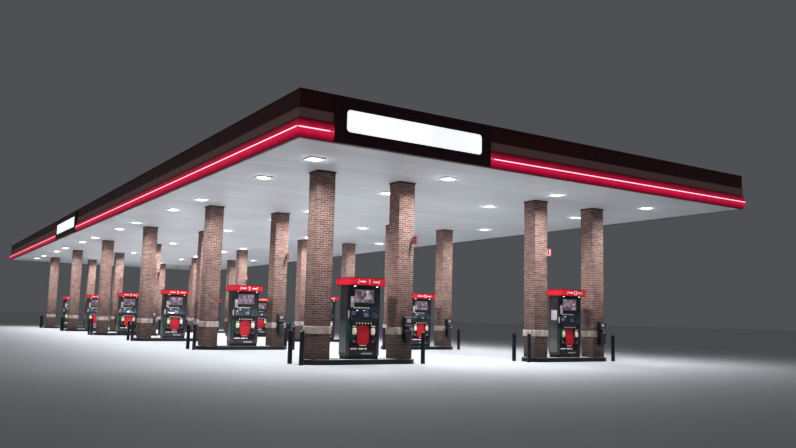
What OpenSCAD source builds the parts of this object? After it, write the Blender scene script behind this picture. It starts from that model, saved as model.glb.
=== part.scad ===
// Filling station canopy on brick-clad columns, with its pump islands.
// Every size below is the full-size one in millimetres, and model_scale brings
// the finished solids down to the scale of the model. The origin is on the
// ground under the middle of the roof: +X runs along the short front fascia,
// +Y along the long side fascia and +Z up.

/* [Model] */
// Scale of the model against the full-size canopy
model_scale = 0.5; // [0.05, 0.1, 0.5]

/* [Roof] */
// Width of the roof over the fascia panels
roof_w = 18690; // [17800:10:24000]
// Length of the roof over the fascia panels
roof_l = 59830; // [58600:10:74000]
// Height of the soffit above the ground
soffit_h = 5900; // [4800:10:7200]
// Height of the fascia from the soffit to its top
fascia_h = 1280; // [1100:10:1600]

/* [Column grid] */
// Rows of islands along the roof
rows = 6; // [2:1:6]
// Distance from row to row
row_pitch = 9810; // [8000:10:9900]
// Front fascia to the first row
front_overhang = 3830; // [2600:10:4600]
// Left fascia to the first column line
left_overhang = 2665; // [2200:5:3200]
// Distance between the two columns of one island
pair_pitch = 2980; // [2500:10:3600]
// Distance between the two islands of one row
island_pitch = 8940; // [7600:10:9600]

/* [Columns] */
// Side of a square brick column
pier_side = 600; // [500:5:720]
// Thickness of the brickwork round the steel column
brick_t = 92; // [75:1:110]
// Height of the stone band's underside above the ground
band_z = 920; // [700:10:1300]
// Height of the stone band
band_h = 230; // [150:5:300]
// How far the stone band stands proud of the brick
band_proud = 25; // [10:1:40]
// Height of the sloping top of the stone band
wash_h = 30; // [10:1:50]
// Height of the dark trim collar under the soffit
collar_h = 60; // [40:5:100]
// Width of the collar's flange against the soffit
collar_w = 35; // [20:1:60]
// Thickness of the trim collar
collar_t = 12; // [6:1:20]
// Side of the square steel column
tube_side = 254; // [200:1:300]
// Wall of the square steel column
tube_wall = 9.5; // [6:0.5:16]
// Thickness of a column's base plate and cap plate
plate_t = 25; // [16:1:32]

/* [Islands] */
// Length of an island over its round ends
island_l = 4000; // [3900:10:4800]
// Width of an island
island_w = 950; // [860:10:1150]
// Height of an island
island_h = 150; // [120:5:200]
// Thickness of the steel form round an island
form_t = 10; // [6:1:16]
// Diameter of a bollard
bollard_d = 141; // [100:1:180]
// Height of a bollard
bollard_h = 1020; // [850:10:1200]
// Bollards from the island's middle, along it
bollard_x = 2170; // [2150:10:2500]
// Bollards from the island's middle, across it
bollard_y = 400; // [300:10:560]

/* [Roof steel and deck] */
// Depth of a main beam
beam_h = 457; // [350:1:530]
// Flange width of a main beam
beam_flange = 190; // [150:1:230]
// Flange thickness of a main beam
beam_flange_t = 15; // [10:1:22]
// Web thickness of a main beam
beam_web_t = 9; // [6:1:14]
// Depth of a purlin
purlin_h = 203; // [150:1:250]
// Flange width of a purlin
purlin_flange = 102; // [80:1:140]
// Flange thickness of a purlin
purlin_flange_t = 8; // [5:1:12]
// Web thickness of a purlin
purlin_web_t = 6; // [4:1:10]
// Purlin beside each column line, from the line
purlin_set_off = 350; // [300:10:500]
// Pitch of the deck pans
pan_pitch = 406; // [300:1:500]
// Height of the standing rib of a pan
pan_h = 76; // [60:1:100]
// Sheet thickness of a pan
pan_t = 2; // [1:0.5:3]
// Width of the gutter round the deck
gutter_w = 150; // [120:5:200]
// Sheet thickness of the gutter
gutter_t = 3; // [2:0.5:5]

/* [Fascia] */
// Height of the half-round bullnose
nose_h = 530; // [400:10:600]
// Wall of the bullnose shell
nose_t = 6; // [4:1:12]
// Height of the pale stripe above the bullnose
stripe_h = 250; // [180:10:300]
// How far the stripe stands proud of the panels
stripe_proud = 12; // [6:1:20]
// Longest fascia panel along a side
panel_l = 3050; // [2000:10:4000]
// Open joint between neighbouring fascia panels
panel_gap = 12; // [6:1:20]
// Depth of a fascia panel's folded edge
panel_return = 40; // [30:1:60]
// Sheet thickness of a fascia panel
panel_t = 4; // [3:0.5:6]
// Side of the fascia frame's square tubes
frame_side = 50; // [40:1:60]
// Farthest that the fascia frame's posts stand apart
post_gap = 2400; // [1200:50:3000]
// Sheet thickness of the coping
coping_t = 5; // [3:0.5:8]
// How far the coping stands over both sides of the fascia
coping_over = 10; // [5:1:20]
// Height of the coping's turned-down edges
coping_leg = 35; // [20:1:60]
// Length of the front sign cabinet
front_sign_l = 5210; // [3000:10:6000]
// Front sign cabinet from the left corner of the fascia
front_sign_from = 980; // [800:10:3000]
// Length of the side sign cabinet
side_sign_l = 6500; // [4000:10:8000]
// Side sign cabinet from the front corner of the fascia
side_sign_from = 29030; // [10000:10:40000]
// Height of a sign cabinet
sign_h = 1150; // [900:10:1200]
// Depth of a sign cabinet
sign_depth = 200; // [120:10:240]
// Width of the raised rim of a sign cabinet
sign_rim = 40; // [20:1:60]
// How far a sign cabinet's face is set back behind its rim
sign_set_back = 35; // [5:1:60]
// Height of the blank lit pan on a sign cabinet
sign_pan_h = 640; // [300:10:800]
// Dark margin at both ends of the lit pan
sign_pan_margin = 330; // [100:10:800]
// Thickness of the lit pan
sign_pan_t = 50; // [20:1:80]

/* [Soffit lights] */
// Inner lines of lights from the middle of the column grid
lamp_inner = 2370; // [2000:10:2900]
// Outer lines of lights from the middle of the column grid
lamp_outer = 7110; // [6700:10:7400]
// Lights in front of and behind each row
lamp_reach = 1850; // [1400:10:2200]
// Lights are this much further back than their row
lamp_shift = 130; // [0:10:200]
// Side of a light's square bezel
lamp_side = 520; // [450:5:600]
// Diameter of a light's round lens
lamp_d = 420; // [300:5:440]
// Thickness of a light's bezel under the soffit
lamp_bezel_h = 34; // [20:1:50]
// Height of a light's lens from the soffit to its lowest point
lamp_lens_h = 46; // [36:1:80]

/* [Dispensers] */
// Width of a dispenser cabinet
cab_w = 1180; // [1000:10:1300]
// Depth of a dispenser cabinet
cab_d = 500; // [440:10:620]
// Underside of the header above the ground
header_z = 2410; // [2200:10:2600]
// Height of the header
header_h = 260; // [200:10:320]
// Width of the header
header_w = 1240; // [1200:10:1400]
// Depth of the header
header_d = 1100; // [900:10:1200]
// Bow of the header's front and back
header_bow = 70; // [20:5:120]
// Height of the plinth under a cabinet
plinth_h = 110; // [60:5:160]
// Width of a cabinet's side pillars
pillar_w = 95; // [60:5:140]
// How far the cabinet's core is set back behind the pillars
recess = 70; // [50:5:100]
// Underside of the lower door above the ground
door_z = 420; // [360:5:500]
// Top of the lower door above the ground
door_top = 1210; // [1190:5:1260]
// Height of the keypad shelf's edge above the ground
shelf_z = 1370; // [1340:5:1420]
// How far the keypad shelf stands out in front of the cabinet
shelf_out = 105; // [60:5:140]
// Height of the slope above the keypad shelf
slope_h = 300; // [240:5:340]
// Width of the screen
screen_w = 710; // [500:10:760]
// Height of the screen
screen_h = 420; // [300:10:440]
// Underside of the screen above the ground
screen_z = 1890; // [1800:10:1900]
// How deep the screen sits in its housing
screen_in = 18; // [8:1:30]

/* [Nozzles] */
// Nozzle boots from the middle of the door
boot_x = 335; // [250:5:380]
// Underside of a nozzle boot above the ground
boot_z = 650; // [500:10:700]
// Width of a nozzle boot
boot_w = 200; // [180:2:220]
// Height of a nozzle boot
boot_h = 540; // [480:10:560]
// Depth of a nozzle boot
boot_d = 45; // [30:1:60]
// Wall of a nozzle boot
boot_t = 10; // [6:1:14]
// Diameter of a nozzle's spout
spout_d = 22; // [18:1:26]
// Thickness of a nozzle's body
body_t = 50; // [40:1:60]

/* [Units on the columns] */
// Side of a number flag
flag_side = 260; // [200:10:320]
// Underside of a number flag above the ground
flag_z = 3850; // [3000:10:4200]
// Thickness of a number flag
flag_t = 40; // [20:1:60]
// Gap between a number flag and its column
flag_arm = 30; // [20:1:80]
// Offset of a number flag from the middle of its column's face
flag_shift = 220; // [0:5:260]
// Underside of a washer bucket above the ground
bucket_z = 660; // [500:10:800]
// Height of a washer bucket
bucket_h = 400; // [300:10:440]
// Diameter of a washer bucket at its rim
bucket_d = 250; // [200:5:300]
// Width of a towel box
towel_w = 320; // [260:10:380]
// Height of a towel box
towel_h = 340; // [280:10:400]
// Depth of a towel box
towel_d = 150; // [100:10:180]

/* [Hidden] */
$fn = 48;

// Small gap that keeps neighbouring sheets and panels apart
joint_gap = 2;
// Height of a bollard's domed top as a share of its diameter
bollard_crown = 0.22;
// Overlap used only to cut clean through a solid
cut = 50;
// Play between a cut-out and what passes through it
clearance = 20;

// Grid of columns, rows and islands
island_x = [for (i = [0, 1]) -roof_w / 2 + left_overhang + pair_pitch / 2 + i * island_pitch];
column_x = [for (x = island_x, s = [-1, 1]) x + s * pair_pitch / 2];
row_y = [for (j = [0 : rows - 1]) -roof_l / 2 + front_overhang + j * row_pitch];
grid_mid = (island_x[0] + island_x[1]) / 2;

// Levels of the roof
purlin_z = soffit_h + pan_h;
beam_z = purlin_z + purlin_h;
fascia_top = soffit_h + fascia_h;
nose_top = soffit_h + nose_h;
sign_rise = 50;
sign_z = soffit_h + sign_rise;
// How far inward a side's pieces may reach at a mitred corner
mitre_in = 400;

// Depths inward from the face of the fascia panels
frame_in = panel_return;
gutter_in = frame_in + frame_side;
deck_in = gutter_in + gutter_w;

// Fascia sides: 0 front, 1 right, 2 back, 3 left
side_run = [roof_w, roof_l, roof_w, roof_l];
side_reach = [roof_l / 2, roof_w / 2, roof_l / 2, roof_w / 2];

// Signs along their side, in the side's own x
sign_span = [
    [-roof_w / 2 + front_sign_from, -roof_w / 2 + front_sign_from + front_sign_l],
    undef,
    undef,
    [roof_l / 2 - side_sign_from - side_sign_l, roof_l / 2 - side_sign_from]
];

// Deck pans
deck_w = roof_w - 2 * deck_in;
deck_l = roof_l - 2 * deck_in;
pan_count = floor(deck_l / pan_pitch);
pan_w = deck_l / pan_count;
tube_hole = tube_side + 2 * clearance;

// Lights
lamp_x = [for (a = [-lamp_outer, -lamp_inner, lamp_inner, lamp_outer]) grid_mid + a];
lamp_y = [for (y = row_y, s = [-1, 1]) y + lamp_shift + s * lamp_reach];
lamp_lens_lip = 14;
lamp_bezel_r = 40;
driver_size = [260, 160, 110];
driver_grip = 10;
conduit_d = 60;

// Purlins: one near each edge, one beside each column line on the island side,
// one midway between the islands and one in the wide right overhang
edge_purlin = roof_w / 2 - deck_in - purlin_flange / 2;
inner_purlins = [for (x = island_x, s = [-1, 1]) x + s * (pair_pitch / 2 - purlin_set_off)];
purlin_x = concat(
    [-edge_purlin, grid_mid],
    inner_purlins,
    [(inner_purlins[3] + edge_purlin) / 2, edge_purlin]
);

// Dispenser, with depths as y in front of the middle of its cabinet
cab_z = island_h + plinth_h;
panel_w = cab_w - 2 * pillar_w - 2 * joint_gap;
door_in = 15;
housing_out = 5;
core_y = -cab_d / 2 + recess;
door_y = -cab_d / 2 + door_in;
housing_y = -cab_d / 2 - housing_out;
shelf_y = -cab_d / 2 - shelf_out;
door_gap = 5;
button_band_h = 90;
shelf_edge = 30;
header_gap = 40;
housing_z = door_top + door_gap;
housing_top = header_z - header_gap;
band_top = housing_z + button_band_h;
slope_z = shelf_z + shelf_edge;
slope_run = shelf_y - housing_y;
slope_tilt = atan(slope_run / slope_h);
pad_x = 40;
reader_x = 330;

// Nozzle, with heights above the underside of its boot
boot_r = 60;
nozzle_z = 30;
grip_h = 270;
grip = [34, 30];
swivel_h = 50;
swivel_d = 46;
body_w = 74;
body_h = 150;
body_r = 18;
spout_r = 38;
spout_l = 130;
guard_t = 12;
guard_out = 78;
guard_r = 30;

// Washer bucket and towel box
bucket_taper = 0.78;
towel_gap = 100;
unit_shift = 60;

module full_size() {
    scale(model_scale) children();
}

module at_islands() {
    for (x = island_x, y = row_y) translate([x, y, 0]) children();
}

module at_columns() {
    for (x = column_x, y = row_y) translate([x, y, 0]) children();
}

// Both faces of every dispenser, the second turned half round
module at_faces() {
    at_islands() for (a = [0, 180]) rotate(a) children();
}

module on_side(s) {
    rotate(90 * s) translate([0, -side_reach[s], 0]) children();
}

// Square outline centred on the origin
module square_tube(side, wall, h) {
    linear_extrude(h) difference() {
        square(side, center = true);
        square(side - 2 * wall, center = true);
    }
}

// Rectangle with round corners, centred, as exact arcs
module round_rect(w, d, r) {
    square([w - 2 * r, d], center = true);
    square([w, d - 2 * r], center = true);
    for (sx = [-1, 1], sy = [-1, 1])
        translate([sx * (w / 2 - r), sy * (d / 2 - r)]) circle(r);
}

// Profile drawn as (inward, up), run along one side from x0 to x1 and cut
// square to the neighbouring side where it reaches a corner
module run_profile(s, x0, x1) {
    h = side_run[s] / 2 - joint_gap / 2;
    out = nose_h;
    in = mitre_in;
    on_side(s) intersection() {
        translate([x0, 0, 0]) rotate([90, 0, 90]) linear_extrude(x1 - x0) children();
        translate([0, 0, soffit_h - cut]) linear_extrude(fascia_h + 3 * cut)
            polygon([[-h - out, -out], [h + out, -out], [h - in, in], [-h + in, in]]);
    }
}

// Stretches of a side that a sign doesn't take, full length where it has none
function spans(s) = let (e = side_run[s] / 2 + nose_h, g = sign_span[s])
    is_undef(g) ? [[-e, e]] : [[-e, g[0] - joint_gap], [g[1] + joint_gap, e]];

// Island of the given inset from its outline
module island_outline(inset) {
    r = island_w / 2;
    end_x = island_l / 2 - r;
    square([2 * end_x, 2 * (r - inset)], center = true);
    for (s = [-1, 1]) translate([s * end_x, 0]) circle(r - inset);
}

module island_forms() {
    color("#1b1c1e") full_size() at_islands() linear_extrude(island_h) difference() {
        island_outline(0);
        island_outline(form_t);
    }
}

module island_slabs() {
    color("#b9b6ae") full_size() at_islands()
        linear_extrude(island_h) island_outline(form_t + joint_gap / 2);
}

module bollards() {
    crown = bollard_d * bollard_crown;
    color("#232326") full_size() at_islands()
        for (sx = [-1, 1], sy = [-1, 1]) translate([sx * bollard_x, sy * bollard_y, 0]) {
            cylinder(h = bollard_h - crown, d = bollard_d);
            translate([0, 0, bollard_h - crown]) intersection() {
                r = (bollard_d * bollard_d / 4 + crown * crown) / (2 * crown);
                translate([0, 0, crown - r]) sphere(r);
                cylinder(h = crown, d = bollard_d);
            }
        }
}

module steel_columns() {
    base = pier_side - 2 * brick_t - clearance;
    cap = [tube_side + 2 * clearance, beam_flange, plate_t];
    color("#5c6063") full_size() at_columns() {
        translate([-base / 2, -base / 2, island_h]) cube([base, base, plate_t]);
        translate([0, 0, island_h]) square_tube(tube_side, tube_wall, beam_z - island_h);
        translate([-cap[0] / 2, -cap[1] / 2, beam_z - plate_t]) cube(cap);
    }
}

// One line of piers along the roof, each in two lifts with the stone band between
module brick_piers(line) {
    low = band_z - island_h;
    high = soffit_h - band_z - band_h;
    color("#8f6f62") full_size() for (y = row_y) translate([column_x[line], y, 0]) {
        translate([0, 0, island_h]) square_tube(pier_side, brick_t, low);
        translate([0, 0, band_z + band_h]) square_tube(pier_side, brick_t, high);
    }
}

// Ring of cast stone with a sloping wash on top and a drip groove underneath
module stone_bands() {
    side = pier_side + 2 * band_proud;
    rise = band_h - wash_h;
    drip = 8;
    color("#a89c90") full_size() at_columns() translate([0, 0, band_z]) difference() {
        union() {
            linear_extrude(rise) square(side, center = true);
            translate([0, 0, rise])
                linear_extrude(wash_h, scale = pier_side / side) square(side, center = true);
        }
        translate([0, 0, -cut]) linear_extrude(band_h + 2 * cut)
            square(pier_side - 2 * brick_t, center = true);
        translate([0, 0, -drip]) square_tube(side - drip, drip, 2 * drip);
    }
}

// Angle trim: a leg against the brick and a flange against the soffit
module column_collars() {
    color("#2f2a28") full_size() at_columns() {
        translate([0, 0, soffit_h - collar_h])
            square_tube(pier_side + 2 * collar_t, collar_t, collar_h);
        translate([0, 0, soffit_h - collar_t])
            square_tube(pier_side + 2 * collar_w, collar_w, collar_t);
    }
}

// I-section, web upright, standing on the line y = 0
module i_section(h, flange, t_flange, t_web) {
    translate([-flange / 2, 0]) square([flange, t_flange]);
    translate([-flange / 2, h - t_flange]) square([flange, t_flange]);
    translate([-t_web / 2, 0]) square([t_web, h]);
}

// Beam over each row, with a pair of web stiffeners above each column
module main_beams() {
    run = roof_w - 2 * gutter_in;
    rib = [beam_flange_t, beam_flange, beam_h];
    color("#6b6f70") full_size() for (y = row_y) translate([0, y, beam_z]) {
        translate([-run / 2, 0, 0]) rotate([90, 0, 90]) linear_extrude(run)
            i_section(beam_h, beam_flange, beam_flange_t, beam_web_t);
        for (x = column_x, s = [-1, 1])
            translate([x + s * (tube_side - beam_flange_t) / 2, 0, beam_h / 2])
                cube(rib, center = true);
    }
}

module purlins() {
    run = roof_l - 2 * gutter_in;
    color("#74797b") full_size() for (x = purlin_x) translate([x, run / 2, purlin_z])
        rotate([90, 0, 0]) linear_extrude(run)
            i_section(purlin_h, purlin_flange, purlin_flange_t, purlin_web_t);
}

// Flat pan between two upright legs. The right leg hooks over the left leg of
// the next pan with a small clearance all round, and the last pan ends plain.
module pan_profile(hooked) {
    g = joint_gap / 2;
    t = pan_t;
    hook = 12;
    leg = pan_h - t - joint_gap;
    lip = pan_w + g + t + joint_gap;
    difference() {
        translate([g, 0]) square([pan_w - 2 * g, leg]);
        translate([g + t, t]) square([pan_w - 2 * g - 2 * t, leg]);
    }
    if (hooked) {
        translate([pan_w - g - t, 0]) square([t, pan_h]);
        translate([pan_w - g - t, pan_h - t]) square([lip + 2 * t + g - pan_w, t]);
        translate([lip, pan_h - t - hook]) square([t, hook + t]);
    }
}

module deck_pans() {
    y0 = -deck_l / 2;
    color("#dfe1e0") full_size() for (i = [0 : pan_count - 1])
        difference() {
            translate([-deck_w / 2, y0 + i * pan_w, soffit_h])
                rotate([90, 0, 90]) linear_extrude(deck_w) pan_profile(i < pan_count - 1);
            for (x = column_x, y = row_y)
                if (abs(y - y0 - (i + 0.5) * pan_w) < pan_w + tube_hole)
                    translate([x - tube_hole / 2, y - tube_hole / 2, soffit_h - cut])
                        cube([tube_hole, tube_hole, pan_h + 2 * cut]);
            for (x = lamp_x, y = lamp_y)
                if (pan_index(y) == i)
                    translate([x, pan_middle(y), soffit_h - cut])
                        cylinder(h = 2 * cut, d = conduit_d);
        }
}

// Deck pan that holds a light at y, and the middle of that pan
function pan_index(y) = floor((y + deck_l / 2) / pan_w);
function pan_middle(y) = -deck_l / 2 + (pan_index(y) + 0.5) * pan_w;

// Channel round the deck, open on top, with a low inner lip under the pan ends
module gutter() {
    t = gutter_t;
    a = roof_w / 2 - gutter_in;
    b = roof_l / 2 - gutter_in;
    color("#c9cccb") full_size() translate([0, 0, soffit_h]) difference() {
        translate([-a, -b, 0]) cube([2 * a, 2 * b, pan_h]);
        translate([-a + t, -b + t, t]) cube([2 * (a - t), 2 * (b - t), pan_h]);
        translate([-a + gutter_w, -b + gutter_w, -cut])
            cube([2 * (a - gutter_w), 2 * (b - gutter_w), pan_h]);
    }
}

// Posts and two rails behind the panels of each side
module fascia_frames() {
    h = fascia_h - panel_t - joint_gap;
    color("#8b8f90") full_size() for (s = [0 : 3]) {
        inner = s % 2 == 0 ? gutter_in : frame_in;
        run = side_run[s] - 2 * inner - (s % 2 == 0 ? 2 * joint_gap : 0);
        n = ceil(run / post_gap);
        on_side(s) translate([-run / 2, frame_in, soffit_h + panel_t]) {
            for (z = [0, h - panel_t - frame_side]) translate([0, 0, z])
                cube([run, frame_side, frame_side]);
            for (i = [0 : n]) translate([i * (run - frame_side) / n, 0, 0])
                cube([frame_side, frame_side, h - panel_t]);
        }
    }
}

// Face of a folded panel, with an edge turned in at the top and the bottom
module panel_profile() {
    translate([0, soffit_h]) square([panel_t, fascia_h]);
    translate([0, soffit_h]) square([panel_return, panel_t]);
    translate([0, fascia_top - panel_t]) square([panel_return, panel_t]);
}

// Row of folded panels along a side, turned in at both ends of each open joint
module fascia_panels(s) {
    run = side_run[s];
    count = ceil(run / panel_l);
    pitch = run / count;
    color("#4a0f16") full_size() for (i = [0 : count - 1]) {
        x0 = -run / 2 + i * pitch + (i > 0 ? panel_gap / 2 : 0);
        x1 = -run / 2 + (i + 1) * pitch - (i < count - 1 ? panel_gap / 2 : 0);
        run_profile(s, x0, x1) panel_profile();
        if (i > 0) run_profile(s, x0, x0 + panel_t) panel_end();
        if (i < count - 1) run_profile(s, x1 - panel_t, x1) panel_end();
    }
}

module panel_end() {
    translate([0, soffit_h]) square([panel_return, fascia_h]);
}

module fascia_coping() {
    t = coping_t;
    over = coping_over;
    leg = coping_leg;
    depth = gutter_in + over;
    color("#3a0d12") full_size() for (s = [0 : 3])
        run_profile(s, -side_run[s], side_run[s]) translate([-over, fascia_top]) {
            square([depth + over, t]);
            translate([0, -leg]) square([over, leg + t]);
            translate([depth + over - t, -leg]) square([t, leg + t]);
        }
}

module fascia_stripes() {
    color("#8d7f7a") full_size() for (s = [0 : 3], g = spans(s))
        run_profile(s, g[0], g[1])
            translate([-stripe_proud, nose_top]) square([stripe_proud, stripe_h]);
}

// Half-round shell, closed where it ends against a sign
module bullnose(s) {
    r = nose_h / 2;
    color("#c01230") full_size() for (g = spans(s)) {
        run_profile(s, g[0], g[1]) translate([0, soffit_h + r]) intersection() {
            difference() {
                circle(r, $fn = 96);
                circle(r - nose_t, $fn = 96);
            }
            translate([-2 * r, -2 * r]) square([2 * r, 4 * r]);
        }
        for (k = [0, 1]) if (abs(g[k]) < side_run[s] / 2)
            run_profile(s, g[k] - k * nose_t, g[k] + (1 - k) * nose_t)
                translate([0, soffit_h + r]) intersection() {
                    circle(r, $fn = 96);
                    translate([-2 * r, -2 * r]) square([2 * r, 4 * r]);
                }
    }
}

module light_strips() {
    proud = 8;
    h = 26;
    stop = 60;
    color("#ffd5dc") full_size() for (s = [0 : 3], g = spans(s))
        run_profile(s, g[0] + stop, g[1] - stop)
            translate([-nose_h / 2 - proud, soffit_h + (nose_h - h) / 2]) square([proud, h]);
}

// Shallow box with its face set back inside a raised rim
module sign_cabinet(s) {
    rim = sign_rim;
    g = sign_span[s];
    l = g[1] - g[0];
    color("#221114") full_size() on_side(s) difference() {
        translate([g[0], -sign_depth, sign_z]) cube([l, sign_depth, sign_h]);
        translate([g[0] + rim, -sign_depth - cut, sign_z + rim])
            cube([l - 2 * rim, sign_set_back + cut, sign_h - 2 * rim]);
    }
}

// Blank lit pan on the face of each sign cabinet
module sign_pans() {
    round = 130;
    color("#ffffff") full_size() for (s = [0 : 3]) let (g = sign_span[s])
        if (!is_undef(g))
            on_side(s) translate([(g[0] + g[1]) / 2, sign_set_back - sign_depth, sign_z + sign_h / 2])
                rotate([90, 0, 0]) linear_extrude(sign_pan_t)
                    round_rect(g[1] - g[0] - 2 * sign_pan_margin, sign_pan_h, round);
}

module at_lamps() {
    for (x = lamp_x, y = lamp_y) translate([x, y, soffit_h]) children();
}

module lamp_bezels() {
    color("#e8e9ea") full_size() at_lamps() translate([0, 0, -lamp_bezel_h])
        linear_extrude(lamp_bezel_h) difference() {
            round_rect(lamp_side, lamp_side, lamp_bezel_r);
            circle(d = lamp_d + joint_gap, $fn = 96);
        }
}

module lamp_lenses() {
    dome = lamp_lens_h - lamp_lens_lip;
    r = (lamp_d * lamp_d / 4 + dome * dome) / (2 * dome);
    color("#ffffff") full_size() at_lamps() {
        translate([0, 0, dome - lamp_lens_h]) cylinder(h = lamp_lens_h - dome, d = lamp_d, $fn = 96);
        translate([0, 0, -lamp_lens_h]) intersection() {
            translate([0, 0, r]) sphere(r, $fn = 96);
            cylinder(h = dome, d = lamp_d, $fn = 96);
        }
    }
}

module lamp_drivers() {
    color("#9a9d9f") full_size() for (x = lamp_x, y = lamp_y)
        translate([x, pan_middle(y), soffit_h + pan_t]) {
            translate([0, 0, driver_size[2] / 2]) cube(driver_size, center = true);
            translate([0, 0, -pan_t])
                cylinder(h = pan_t + driver_grip, d = conduit_d - joint_gap);
        }
}

module dispenser_plinths() {
    inset = 40;
    color("#18191b") full_size() at_islands() translate([0, 0, island_h])
        linear_extrude(plinth_h) round_rect(cab_w - inset, cab_d - inset, inset / 2);
}

// Core between two side pillars, with a ribbed kick panel under each door
module dispenser_cabinets() {
    rib_pitch = 90;
    rib_w = 30;
    rib_d = 14;
    rib_h = door_z - joint_gap - cab_z;
    ribs = floor(panel_w / rib_pitch);
    pillar_r = 22;
    color("#5b5d5f") full_size() {
        at_islands() translate([0, 0, cab_z]) linear_extrude(header_z - cab_z) {
            square([cab_w - pillar_w, -2 * core_y], center = true);
            for (s = [-1, 1]) translate([s * (cab_w - pillar_w) / 2, 0])
                round_rect(pillar_w, cab_d, pillar_r);
        }
        at_faces() translate([0, core_y, cab_z]) linear_extrude(rib_h)
            for (i = [0 : ribs - 1]) translate([(i - (ribs - 1) / 2) * rib_pitch, 0])
                square([rib_w, 2 * rib_d], center = true);
    }
}

module dispenser_doors() {
    h = door_top - door_z;
    corner = 25;
    color("#7d1420") full_size() at_faces() translate([0, core_y, door_z + h / 2])
        rotate([90, 0, 0]) linear_extrude(core_y - door_y) round_rect(panel_w, h, corner);
}

// Upper housing: upright round the screen, sloping out to a keypad shelf and
// back in to the band that holds the grade buttons
module dispenser_bezels() {
    color("#141517") full_size() at_faces() difference() {
        translate([-panel_w / 2, 0, 0]) rotate([90, 0, 90]) linear_extrude(panel_w) polygon([
            [core_y, housing_z], [housing_y, housing_z], [housing_y, band_top], [shelf_y, shelf_z],
            [shelf_y, slope_z], [housing_y, slope_z + slope_h], [housing_y, housing_top],
            [core_y, housing_top]
        ]);
        translate([-screen_w / 2, housing_y - cut, screen_z])
            cube([screen_w, cut + screen_in, screen_h]);
    }
}

module dispenser_screens() {
    t = 8;
    corner = 12;
    color("#a9a2ac") full_size() at_faces()
        translate([0, housing_y + screen_in, screen_z + screen_h / 2])
            rotate([90, 0, 0]) linear_extrude(t)
                round_rect(screen_w - 2 * joint_gap, screen_h - 2 * joint_gap, corner);
}

// Stands children on the slope, x and y along it and z out of it, from the
// middle of the slope
module on_slope() {
    translate([0, (shelf_y + housing_y) / 2, slope_z + slope_h / 2])
        rotate([90 + slope_tilt, 0, 0]) children();
}

// Keypad block and, beside it, a card reader with its slot, both on the slope
module payment_units() {
    pad = [190, 210, 18];
    reader = [130, 90, 34];
    slot = [8, 14];
    corner = 12;
    color("#3a3d42") full_size() at_faces() on_slope() {
        translate([pad_x, 0, 0]) linear_extrude(pad[2]) round_rect(pad[0], pad[1], corner);
        translate([reader_x, 0, 0]) difference() {
            linear_extrude(reader[2]) round_rect(reader[0], reader[1], corner);
            translate([-reader[0] / 2 - cut, -slot[0] / 2, reader[2] - slot[1]])
                cube([reader[0] + 2 * cut, slot[0], reader[2]]);
        }
    }
}

// Strip with a row of round grade buttons, on the band under the shelf
module grade_buttons() {
    strip = [640, 60];
    strip_t = 5;
    corner = 12;
    button_d = 44;
    button_t = 9;
    pitch = 105;
    color("#d8d9d6") full_size() at_faces()
        translate([0, housing_y, (housing_z + band_top) / 2]) rotate([90, 0, 0]) {
            linear_extrude(strip_t) round_rect(strip[0], strip[1], corner);
            for (i = [-2.5 : 2.5]) translate([i * pitch, 0, 0])
                cylinder(h = strip_t + button_t, d = button_d);
        }
}

// Outline of the header from above, with bowed front and back
module header_outline(inset) {
    half = header_w / 2;
    r = (half * half + header_bow * header_bow) / (2 * header_bow);
    intersection() {
        square([header_w - 2 * inset, header_d - 2 * inset], center = true);
        translate([0, -header_d / 2 + r]) circle(r - inset, $fn = 180);
        translate([0, header_d / 2 - r]) circle(r - inset, $fn = 180);
    }
}

// Lit body between a base tray and a cap that are both set in a little, with
// two small downlights under each face
module dispenser_headers() {
    trim_h = 22;
    inset = 12;
    light_d = 64;
    light_x = 400;
    light_y = header_d / 2 - header_bow - 2 * light_d;
    light_t = 10;
    color("#c62a3c") full_size() {
        at_islands() translate([0, 0, header_z]) {
            linear_extrude(header_h) header_outline(inset);
            translate([0, 0, trim_h]) linear_extrude(header_h - 2 * trim_h) header_outline(0);
        }
        at_faces() for (s = [-1, 1]) translate([s * light_x, -light_y, header_z - light_t])
            cylinder(h = light_t + trim_h, d = light_d);
    }
}

// Left and right boot of a door face, mirrored, at their underside on the door
module at_boots() {
    at_faces() for (s = [0, 1]) mirror([s, 0, 0]) translate([boot_x, door_y, boot_z]) children();
}

// Shallow moulded tray that the nozzle hangs in
module nozzle_boots() {
    color("#26282a") full_size() at_boots() translate([0, 0, boot_h / 2]) rotate([90, 0, 0])
        difference() {
            linear_extrude(boot_d) round_rect(boot_w, boot_h, boot_r);
            translate([0, 0, boot_t]) linear_extrude(boot_d)
                round_rect(boot_w - 2 * boot_t, boot_h - 2 * boot_t, boot_r - boot_t);
        }
}

// Round bar bent from straight left to straight down, its bend round the origin
module elbow(r, d) {
    rotate([90, 0, 0]) rotate(90) rotate_extrude(angle = 90) translate([r, 0]) circle(d = d);
}

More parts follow.
